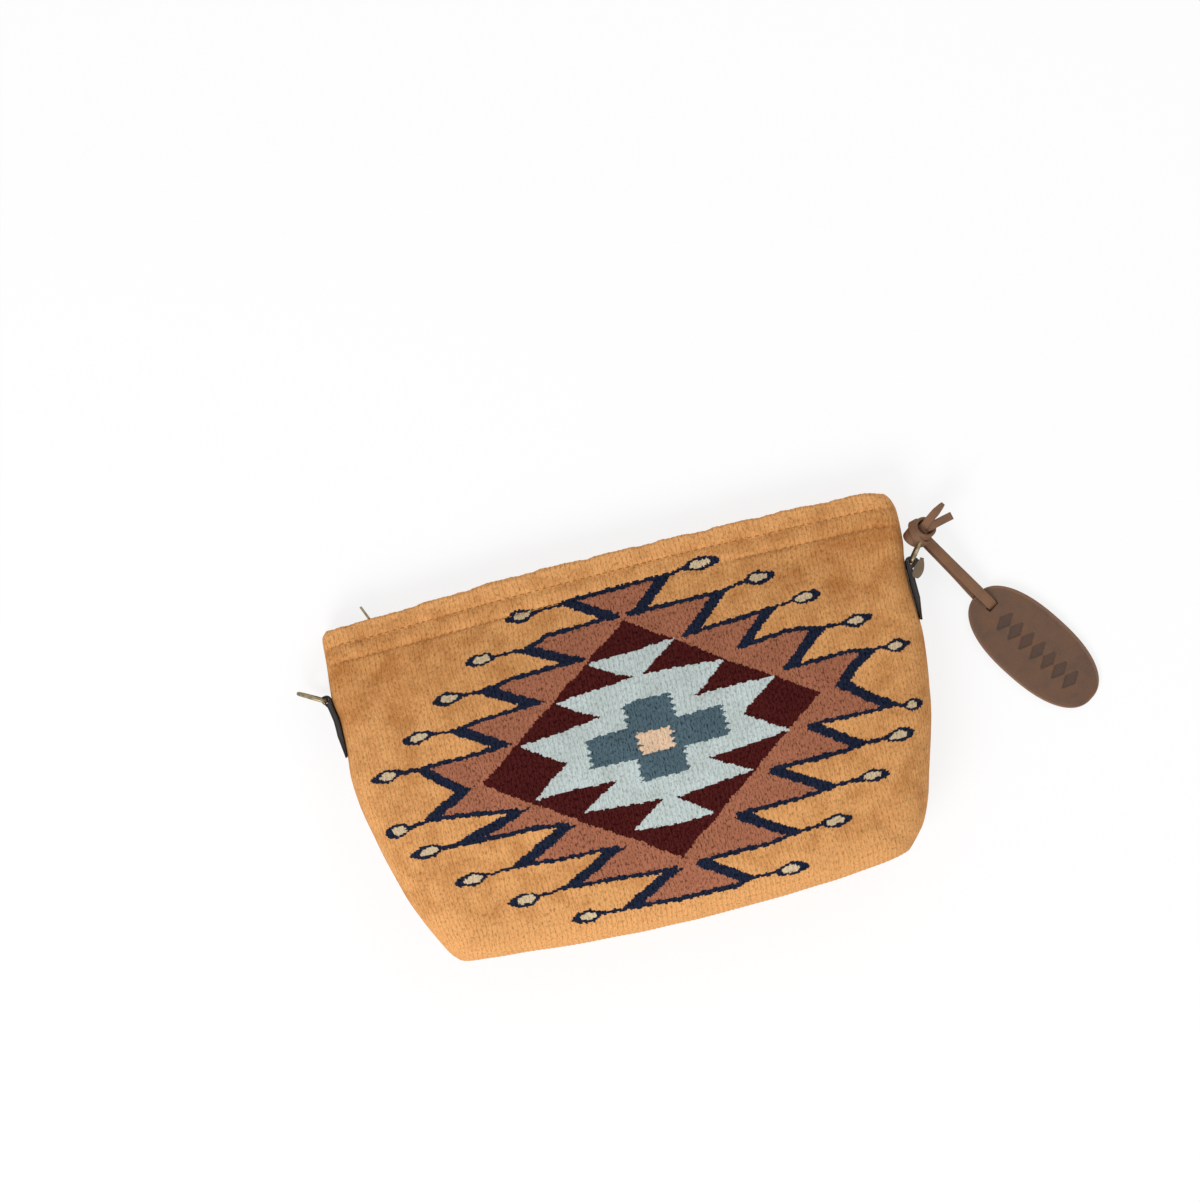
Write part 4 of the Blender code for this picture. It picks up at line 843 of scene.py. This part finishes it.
def piece(name, points, faces, material, body, marks=None):
    """A smooth mesh piece that rides on a body; marks names numbers for each point."""
    mesh = bpy.data.meshes.new(name)
    mesh.from_pydata([tuple(p) for p in points], [], faces)
    mesh.polygons.foreach_set("use_smooth", [True] * len(mesh.polygons))
    for mark, values in (marks or {}).items():
        mesh.attributes.new(mark, "FLOAT", "POINT").data.foreach_set("value", values)
    mesh.materials.append(material)
    obj = bpy.data.objects.new(name, mesh)
    bpy.context.scene.collection.objects.link(obj)
    work = bmesh.new()
    work.from_mesh(mesh)
    bmesh.ops.recalc_face_normals(work, faces=work.faces)
    work.to_mesh(mesh)
    work.free()
    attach(obj, body)
    return obj


def through(controls, steps):
    """Points of a smooth curve through the control points."""
    points = []
    last = len(controls) - 1
    for i in range(last):
        p0, p1, p2, p3 = (Vector(controls[min(max(i + k, 0), last)]) for k in (-1, 0, 1, 2))
        for step in range(steps):
            t = step / steps
            points.append(
                0.5 * (2 * p1 + (p2 - p0) * t + (2 * p0 - 5 * p1 + 4 * p2 - p3) * t * t
                       + (3 * p1 - p0 - 3 * p2 + p3) * t**3)
            )
    return points + [Vector(controls[-1])]


def rounded_section(width, thickness, corner, steps=3):
    """A flat strap's section with rounded corners."""
    section = []
    for sx, sy, start in ((1, -1, -90), (1, 1, 0), (-1, 1, 90), (-1, -1, 180)):
        for step in range(steps + 1):
            angle = math.radians(start + 90 * step / steps)
            section.append((
                sx * (width / 2 - corner) + corner * math.cos(angle),
                sy * (thickness / 2 - corner) + corner * math.sin(angle),
            ))
    return section


def carried(path, section, ups, closed=False, taper=None):
    """Points and faces of a section carried along a path; ups gives its upward direction."""
    rings, count = [], len(path)
    for i, point in enumerate(path):
        before = path[(i - 1) % count] if closed or i else path[i]
        after = path[(i + 1) % count] if closed or i < count - 1 else path[i]
        ahead = (after - before).normalized()
        up = ups[i] if isinstance(ups, list) else ups
        side = ahead.cross(up).normalized()
        over = side.cross(ahead)
        grow = taper(i / (count - 1)) if taper else 1.0
        rings.append([point + side * a * grow + over * b * grow for a, b in section])
    wide = len(section)
    points = [p for ring in rings for p in ring]
    faces = []
    for i in range(count if closed else count - 1):
        for j in range(wide):
            a, b = i * wide + j, i * wide + (j + 1) % wide
            c, d = (i + 1) % count * wide + (j + 1) % wide, (i + 1) % count * wide + j
            faces.append((a, b, c, d))
    if not closed:
        faces += [tuple(range(wide))[::-1], tuple(range((count - 1) * wide, count * wide))]
    return points, faces


def joined(parts):
    """Several (points, faces) as one."""
    points, faces = [], []
    for more, these in parts:
        faces += [tuple(len(points) + i for i in face) for face in these]
        points += more
    return points, faces


def circle(radius, sides):
    return [
        (radius * math.cos(2 * math.pi * i / sides), radius * math.sin(2 * math.pi * i / sides))
        for i in range(sides)
    ]


def finish_node(name, material, bevel=0.0, segments=2):
    """A CAD node that keeps its shape: its material, and its edges eased."""
    node = frame["nodes"][name]
    node.data.materials.clear()
    node.data.materials.append(material)
    if bevel:
        ease = node.modifiers.new("eased edges", "BEVEL")
        ease.width, ease.segments, ease.limit_method = bevel, segments, "ANGLE"
        ease.angle_limit = math.radians(35)
        ease.harden_normals = True
    for face in node.data.polygons:
        face.use_smooth = True
    return node


class CLUTCH_OT_front(bpy.types.Operator):
    """Weaves the front and its tapestry, one piece for each wool"""

    bl_idname = "clutch.front"
    bl_label = "Front"

    def execute(self, context):
        colours = context.scene.clutch_colours
        panel = Panel(FRONT, 0.55, 0.55)
        middle = (panel.points[:-1, :-1] + panel.points[1:, 1:]) / 2 / MM
        threads = (panel.threads[:-1, :-1] + panel.threads[1:, 1:]) / 2
        wools = tapestry(*np.moveaxis(middle, -1, 0), *np.moveaxis(threads, -1, 0))
        wools[: panel.rim_count] = OCHRE
        for number, (name, dyed, nodes, slot) in enumerate(FIELDS):
            colour = tuple(getattr(colours, dyed))
            # Shade colour for the random patches and for the painted shade: ochre browns, the
            # other wools only dull
            tint = (0.66, 0.55, 0.44) if dyed == "ochre" else (0.82, 0.8, 0.78)
            shade = tuple(c * t for c, t in zip(colour, tint))
            # Flecks, random ones and those of painted shade, show more on the dark wools
            mottle = 0.14 if max(colour) > 0.4 else 0.26
            material = wool(f"{dyed} wool tapestry", colour, shade, mottle=mottle)
            cloth_piece(name, panel, wools == number, material, nodes)
        self.stitch(context, panel)
        return {"FINISHED"}

    @staticmethod
    def stitch(context, panel):
        """Two rows of waxed thread along the hem, each stitch sunk at its ends."""
        pitch = context.scene.clutch_weave.stitch_pitch
        parts = []
        for row in HEM_ROWS:
            reach = 121
            for number in range(int(-reach / pitch), int(reach / pitch) + 1):
                start = number * pitch + 0.4
                # The lower row is hidden in the navy line along the zigzag's top
                if row > 12 and -22 < start < 56:
                    continue
                length = pitch * (0.56 + 0.1 * hashed(number, row))
                spots = [panel.spot(start + length * t, row) for t in (0, 0.2, 0.5, 0.8, 1)]
                lifts = (-0.45, 0.05, 0.16, 0.05, -0.45)
                path = [p + n * lift * MM for (p, n), lift in zip(spots, lifts)]
                parts.append(carried(path, circle(0.00024, 6), spots[2][1]))
        points, faces = joined(parts)
        material = twisted_thread(
            "waxed cotton thread", tuple(context.scene.clutch_colours.thread)
        )
        piece("hem_stitches", points, faces, material, "bag")


class CLUTCH_OT_back(bpy.types.Operator):
    """Weaves the plain back"""

    bl_idname = "clutch.back"
    bl_label = "Back"

    def execute(self, context):
        panel = Panel(BACK, 1.1, 0.75)
        chosen = np.ones((panel.points.shape[0] - 1, panel.points.shape[1] - 1), bool)
        material = bpy.data.materials["ochre wool tapestry"]
        cloth_piece("ochre_back", panel, chosen, material, ("woven_shell",))
        return {"FINISHED"}


class CLUTCH_OT_zip(bpy.types.Operator):
    """Finishes the zip, its slider and pull, and the lining"""

    bl_idname = "clutch.zip"
    bl_label = "Zip and lining"

    def execute(self, context):
        colours = context.scene.clutch_colours
        metal = brass("antique brass", tuple(colours.brass))
        # Zip tape has herringbone ribs of about 0.5 mm
        tape = cloth("herringbone zip tape", linear("#A67E45"), 0.5, ("X", "Z"))
        inner = cloth("plain cotton lining", linear("#9C8F7C"), 0.45)
        for end in ("front", "back"):
            finish_node(f"zip_tape_{end}", tape, 0.0002)
            finish_node(f"zip_teeth_{end}", metal, 0.0002)
            finish_node(f"zip_top_stop_{end}", metal, 0.0003)
        finish_node("zip_bottom_stop", metal, 0.0003)
        finish_node("zip_slider", metal, 0.00022)
        finish_node("zip_pull", metal, 0.00022, 3)
        finish_node("lining", inner)
        return {"FINISHED"}


class CLUTCH_OT_rings(bpy.types.Operator):
    """Bends the two D-rings from drawn wire and finishes their leather tabs"""

    bl_idname = "clutch.rings"
    bl_label = "D-rings and tabs"

    def execute(self, context):
        wire = context.scene.clutch_trim.ring_wire / 2
        metal = bpy.data.materials["antique brass"]
        dark = leather(
            "waxed black leather", tuple(context.scene.clutch_colours.black_leather), 0.7, 0.5
        )
        for side, angle in (("left", 150.5), ("right", 51.3)):
            out = Vector((math.cos(math.radians(angle)), math.sin(math.radians(angle)), 0))
            joint = next(j for j in frame["joints"] if j["name"] == f"{side}_ring_swing")
            bar = Vector(joint["pos_m"])
            half, corner, reach = 0.008, 0.0014, 0.0124
            path = [bar + Vector((0, 0, z)) for z in np.linspace(-half + corner, half - corner, 9)]
            for i in range(61):
                t = math.pi * (0.5 - (i + 2) / 64.5)
                path.append(bar + out * reach * math.cos(t) + Vector((0, 0, half * math.sin(t))))
            points, faces = carried(
                path, circle(wire, 16), out.cross(Vector((0, 0, 1))), closed=True
            )
            ring = piece(f"{side}_ring_wire", points, faces, metal, f"{side}_ring")
            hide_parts(f"{side}_d_ring")
            tab = finish_node(f"{side}_tab", dark)
            # Pared by 0.45 mm a side where it lies along the bag
            pare = tab.modifiers.new("pared", "DISPLACE")
            pare.strength, pare.mid_level = -0.00045, 0.0
        self.flap()
        return {"FINISHED"}

    @staticmethod
    def flap():
        """The right tab's free end: a leaf of leather, its flesh side grey-brown."""
        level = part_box("right_tab")[1][2] / MM + 0.7
        spine = through([
            Vector(p) * MM for p in (
                (133.4, 33.4, level - 0.9), (134.8, 35.3, level), (136.6, 37.8, level),
                (138.4, 41.0, level - 0.4)
            )
        ], 8)
        leaf = rounded_section(0.0044, 0.0011, 0.0004)

        def broad(t):
            return 0.25 + 0.75 * math.sin(math.pi * min(t + 0.06, 0.97)) ** 0.7

        points, faces = carried(spine, leaf, Vector((0, 0, 1)), taper=broad)
        suede = leather("grey-brown suede", linear("#78644F"), 0.5, 0.8)
        piece("right_tab_end", points, faces, suede, "bag")


def tag_place():
    """The tag's own directions, tipped so that its far end rests on the surface."""
    trim = bpy.context.scene.clutch_trim
    lift = 0.0016
    angle = math.radians(-56)
    along = Vector((math.cos(angle), math.sin(angle), -lift / trim.tag_length)).normalized()
    across = Vector((-math.sin(angle), math.cos(angle), 0))
    up = along.cross(across)
    centre = Vector((0.177012, -0.009023, lift / 2))
    return lambda a, b, h: centre + along * a + across * b + up * h


class CLUTCH_OT_tag(bpy.types.Operator):
    """Cuts the oval leather tag, stamps its lozenges and burnishes its edge"""

    bl_idname = "clutch.tag"
    bl_label = "Hang tag"

    def execute(self, context):
        trim = context.scene.clutch_trim
        place = tag_place()
        long, wide, thick, power = trim.tag_length / 2, trim.tag_width / 2, 0.0022, 2.35
        edge = 0.0007
        top = np.linspace(-1, 1, 121)
        rings, wear, pressed = [], [], []
        for t in np.linspace(-math.pi / 2 + 0.02, math.pi / 2 - 0.02, 241):
            a = long * math.sin(t)
            half = wide * max(1 - abs(a / long) ** power, 0) ** (1 / power)
            ring, rubbed = [], []
            for v in top:
                b = half * v
                gap = max(min(half - abs(b), (long - abs(a)) * 1.3), 0)
                drop = edge - math.sqrt(max(edge**2 - max(edge - gap, 0) ** 2, 0))
                # Pressed line just inside the edge
                crease = 0.00012 * math.exp(-(((gap - 0.0016) / 0.00035) ** 2))
                stamp = self.stamped(a, b, trim.lozenges)
                ring.append(place(a, b, thick - drop - crease - stamp))
                # Darkened where the die stamps, and in the thong's slit as painted shade
                pressed.append(min(max(stamp / 0.0005, 0), 1))
                rubbed.append(math.exp(-((gap / 0.0011) ** 2)))
            for v in np.linspace(1, -1, 25):
                b = half * v
                gap = max(min(half - abs(b), (long - abs(a)) * 1.3), 0)
                drop = edge - math.sqrt(max(edge**2 - max(edge - gap, 0) ** 2, 0))
                ring.append(place(a, b, drop))
                rubbed.append(math.exp(-((gap / 0.0011) ** 2)) * 0.6)
                pressed.append(0.0)
            rings.append(ring)
            wear += rubbed
        count = len(rings[0])
        points = [p for ring in rings for p in ring]
        faces = [
            (
                i * count + j, i * count + (j + 1) % count, (i + 1) * count + (j + 1) % count,
                (i + 1) * count + j
            )
            for i in range(len(rings) - 1) for j in range(count)
        ]
        faces += [tuple(range(count))[::-1], tuple(range(len(points) - count, len(points)))]
        material = leather(
            "waxed brown leather", tuple(context.scene.clutch_colours.brown_leather), 0.9, 0.5, 0.4
        )
        tag = piece("oval_tag", points, faces, material, "tag", {"wear": wear, "pressed": pressed})
        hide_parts("hang_tag")
        return {"FINISHED"}

    @staticmethod
    def stamped(a, b, count):
        """How deep the stamps and the thong's slit are at a point of the tag."""
        # The thong's slit: sunk deep and fully darkened, a painted shade
        if abs(a + 0.0256) < 0.0009 and abs(b - 0.0014) < 0.0027:
            return 0.0015
        for i in range(count):
            middle = (i - (count - 1) / 2) * 0.0064 + 0.0022
            off = abs((a - middle) / 0.0027) + abs(b / 0.0054)
            if off < 1.15:
                sunk = 0.0005 * min(max((1.08 - off) / 0.16, 0), 1)
                return sunk - 0.00006 * math.exp(-(((off - 1.1) / 0.06) ** 2))
        return 0.0


class CLUTCH_OT_thong(bpy.types.Operator):
    """Ties the flat leather thong: its loop, knot and tails, and its run to the tag"""

    bl_idname = "clutch.thong"
    bl_label = "Thong"

    def execute(self, context):
        trim = context.scene.clutch_trim
        width = trim.thong_width
        up = Vector((0, 0, 1))
        strap = rounded_section(width * 0.86, 0.00118, 0.00042)
        parts = []

        def mm(*point):
            return Vector(point) * MM

        over = through([
            mm(141.6, 49.7, 12.2), mm(143.4, 46.7, 11.4), mm(148.2, 38.9, 9.4),
            mm(153.4, 30.4, 7.2), mm(158.6, 21.9, 5.4), mm(162.6, 15.3, 4.6),
            mm(163.7, 13.5, 4.0), mm(164.1, 12.7, 2.4),
        ], 6)
        under = through([
            mm(141.0, 49.2, 10.8), mm(142.7, 46.4, 9.8), mm(147.4, 38.4, 7.6),
            mm(152.5, 29.6, 4.9), mm(156.9, 21.6, 2.3), mm(160.2, 16.2, 0.66),
            mm(163.0, 13.6, 0.72), mm(164.1, 12.7, 2.0),
        ], 6)
        for path, twist in ((over, 0.25), (under, 0.1)):
            eased = [min(i / (len(path) * 0.55), 1.0) for i in range(len(path))]
            ups = [Matrix.Rotation(twist * math.sin(math.pi * e), 3, "Y") @ up for e in eased]
            parts.append(carried(path, strap, ups))
        points, faces = joined(parts)
        material = leather(
            "waxed lace leather", tuple(context.scene.clutch_colours.lace_leather), 0.7, 0.55, 0.3
        )
        run = piece("thong_run", points, faces, material, "tag")
        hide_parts("tag_thong")
        self.knot(material)
        return {"FINISHED"}

    @staticmethod
    def knot(material):
        """Three flat wraps of the lace drawn tight round the ring, and its two ends."""
        centre = Vector((0.1404, 0.0519, 0.0136))

        def at(right, up, out):
            return centre + (PICTURE_RIGHT * right + PICTURE_UP * up + Vector((0, 0, out))) * MM

        band = rounded_section(0.0041, 0.0015, 0.0006)
        parts = []
        # Each wrap: place along the knot, radius in millimetres, and how it leans and sways
        for along, radius, lean, sway in (
            (-3.4, 4.1, 0.46, -0.14), (-0.4, 5.1, 0.62, 0.15), (2.8, 4.5, 0.92, -0.08),
        ):
            axis = (at(0.74 + sway, 0.64 - sway, lean) - centre).normalized()
            side = axis.cross(Vector((0, 0, 1))).normalized()
            over = side.cross(axis)
            middle = at(along * 0.62, along * 0.54, along * 0.5)
            path, ups = [], []
            for i in range(44):
                t = 2 * math.pi * i / 44
                out = side * math.cos(t) + over * math.sin(t)
                reach = radius * (1 + 0.07 * math.cos(2 * t + along))
                path.append(middle + (out * reach + axis * 0.5 * math.sin(t + along)) * MM)
                ups.append(out)
            parts.append(carried(path, band, ups, closed=True))
        core = through([at(-3.2, -3.0, -2.4), at(0.0, -0.2, -0.4), at(2.6, 1.6, 0.9)], 6)
        parts.append(carried(core, rounded_section(0.0066, 0.0052, 0.0016), Vector((0, 0, 1))))
        for wide, controls, tapered in (
            (3.6, [(-2.4, -2.2, -1.6), (0.6, 1.0, 1.8), (4.6, 6.2, 3.6), (10.2, 12.6, 3.2)], 0.5),
            (3.5, [(-1.4, -2.6, -2.2), (1.4, 0.2, 1.2), (6.6, 3.6, 2.6), (14.0, 7.4, 1.8)], 0.0),
        ):
            tail = rounded_section(wide * MM, 0.0012, 0.0004)
            path = through([at(*control) for control in controls], 8)
            parts.append(carried(
                path, tail, Vector((0, 0, 1)), taper=lambda t: 1 - tapered * max(t - 0.8, 0) / 0.2
            ))
        points, faces = joined(parts)
        knot = piece("thong_knot", points, faces, material, "tag")


class CLUTCH_OT_stage(bpy.types.Operator):
    """Lays the white floor and sets the lamps, the sky and the camera"""

    bl_idname = "clutch.stage"
    bl_label = "Stage"

    def execute(self, context):
        scene = context.scene
        mesh = bpy.data.meshes.new("floor")
        mesh.from_pydata([(-4, -4, 0), (4, -4, 0), (4, 4, 0), (-4, 4, 0)], [], [(0, 1, 2, 3)])
        floor = bpy.data.objects.new("floor", mesh)
        scene.collection.objects.link(floor)
        # Matt white paper sweep
        material, tree, shader = new_material("white paper")
        shader.inputs["Base Color"].default_value = (*linear("#FDFDFD"), 1)
        shader.inputs["Roughness"].default_value = 0.95
        shader.inputs["Specular IOR Level"].default_value = 0.0
        # Over-lit as a studio sweep is: to the camera it keeps a fifth of its shading
        glow = add_node(tree, "Emission", inputs={"Color": (1, 1, 1, 1), "Strength": 1.0})
        rays = add_node(tree, "LightPath")
        share = add_node(
            tree, "Math", {"operation": "MULTIPLY"}, {0: rays.outputs["Is Camera Ray"], 1: 0.8}
        )
        mixed = add_node(tree, "MixShader", inputs={0: share, 1: shader, 2: glow})
        tree.links.new(mixed.outputs[0], tree.nodes["Material Output"].inputs["Surface"])
        mesh.materials.append(material)
        world = bpy.data.worlds.new("studio")
        scene.world = world
        world.use_nodes = True
        sky = world.node_tree
        background = sky.nodes["Background"]
        background.inputs["Color"].default_value = (1, 1, 1, 1)
        rays = add_node(sky, "LightPath")
        seen = add_node(
            sky, "Math", {"operation": "MAXIMUM"},
            {0: rays.outputs["Is Camera Ray"], 1: rays.outputs["Is Glossy Ray"]},
        )
        seen = add_node(
            sky, "Math", {"operation": "MAXIMUM"}, {
                0: seen, 1: rays.outputs["Is Transmission Ray"]
            }
        )
        strength = add_node(
            sky, "MapRange", inputs={"Value": seen, "To Min": 0.56, "To Max": 1.0}
        )
        sky.links.new(strength.outputs[0], background.inputs["Strength"])
        up, right = PICTURE_UP, PICTURE_RIGHT
        for name, where, size, watts in (
            ("low softbox", -up * 1.1 - right * 0.55 + Vector((0, 0, 1.15)), 0.9, 17.0),
            ("high softbox", up * 0.9 + right * 0.8 + Vector((0, 0, 1.3)), 1.1, 4.0),
        ):
            lamp = bpy.data.lights.new(name, "AREA")
            lamp.shape, lamp.size, lamp.energy = "DISK", size, watts
            holder = bpy.data.objects.new(name, lamp)
            holder.location = where
            holder.rotation_mode = "QUATERNION"
            holder.rotation_quaternion = (Vector((0.02, 0, 0.02)) - where).to_track_quat("-Z", "Y")
            scene.collection.objects.link(holder)
        lens = bpy.data.cameras.new("camera")
        lens.sensor_width = 36.0
        lens.lens = lens.sensor_width * (CAMERA_UP - DRAWN_UP) / SEEN_WIDTH
        camera = bpy.data.objects.new("camera", lens)
        camera.matrix_world = Matrix((
            (right.x, up.x, 0, CAMERA_OVER[0]), (right.y, up.y, 0, CAMERA_OVER[1]),
            (0, 0, 1, CAMERA_UP), (0, 0, 0, 1),
        ))
        scene.collection.objects.link(camera)
        scene.camera = camera
        scene.view_settings.view_transform = "Standard"
        return {"FINISHED"}


class CLUTCH_PT_panel(bpy.types.Panel):
    """Lists the bag's pieces, sizes and colours"""

    bl_idname = "CLUTCH_PT_panel"
    bl_label = "Clutch bag"
    bl_space_type = "VIEW_3D"
    bl_region_type = "UI"
    bl_category = "Clutch bag"

    def draw(self, context):
        layout = self.layout
        for group in ("clutch_weave", "clutch_colours", "clutch_trim"):
            box = layout.box()
            values = getattr(context.scene, group)
            for name in values.bl_rna.properties.keys():
                if name not in ("rna_type", "name"):
                    box.prop(values, name)
        for step in OPERATORS:
            layout.operator(step.bl_idname)


OPERATORS = (
    CLUTCH_OT_stage, CLUTCH_OT_front, CLUTCH_OT_back, CLUTCH_OT_zip, CLUTCH_OT_rings,
    CLUTCH_OT_tag, CLUTCH_OT_thong,
)
CLASSES = (ClutchWeave, ClutchColours, ClutchTrim, *OPERATORS, CLUTCH_PT_panel)


def register():
    for cls in CLASSES:
        bpy.utils.register_class(cls)
    bpy.types.Scene.clutch_weave = PointerProperty(type=ClutchWeave)
    bpy.types.Scene.clutch_colours = PointerProperty(type=ClutchColours)
    bpy.types.Scene.clutch_trim = PointerProperty(type=ClutchTrim)


def unregister():
    del bpy.types.Scene.clutch_trim, bpy.types.Scene.clutch_colours, bpy.types.Scene.clutch_weave
    for cls in reversed(CLASSES):
        bpy.utils.unregister_class(cls)


def main():
    register()
    bpy.ops.clutch.stage()
    bpy.ops.clutch.front()
    bpy.ops.clutch.back()
    bpy.ops.clutch.zip()
    bpy.ops.clutch.rings()
    bpy.ops.clutch.tag()
    bpy.ops.clutch.thong()


if __name__ == "__main__":
    main()
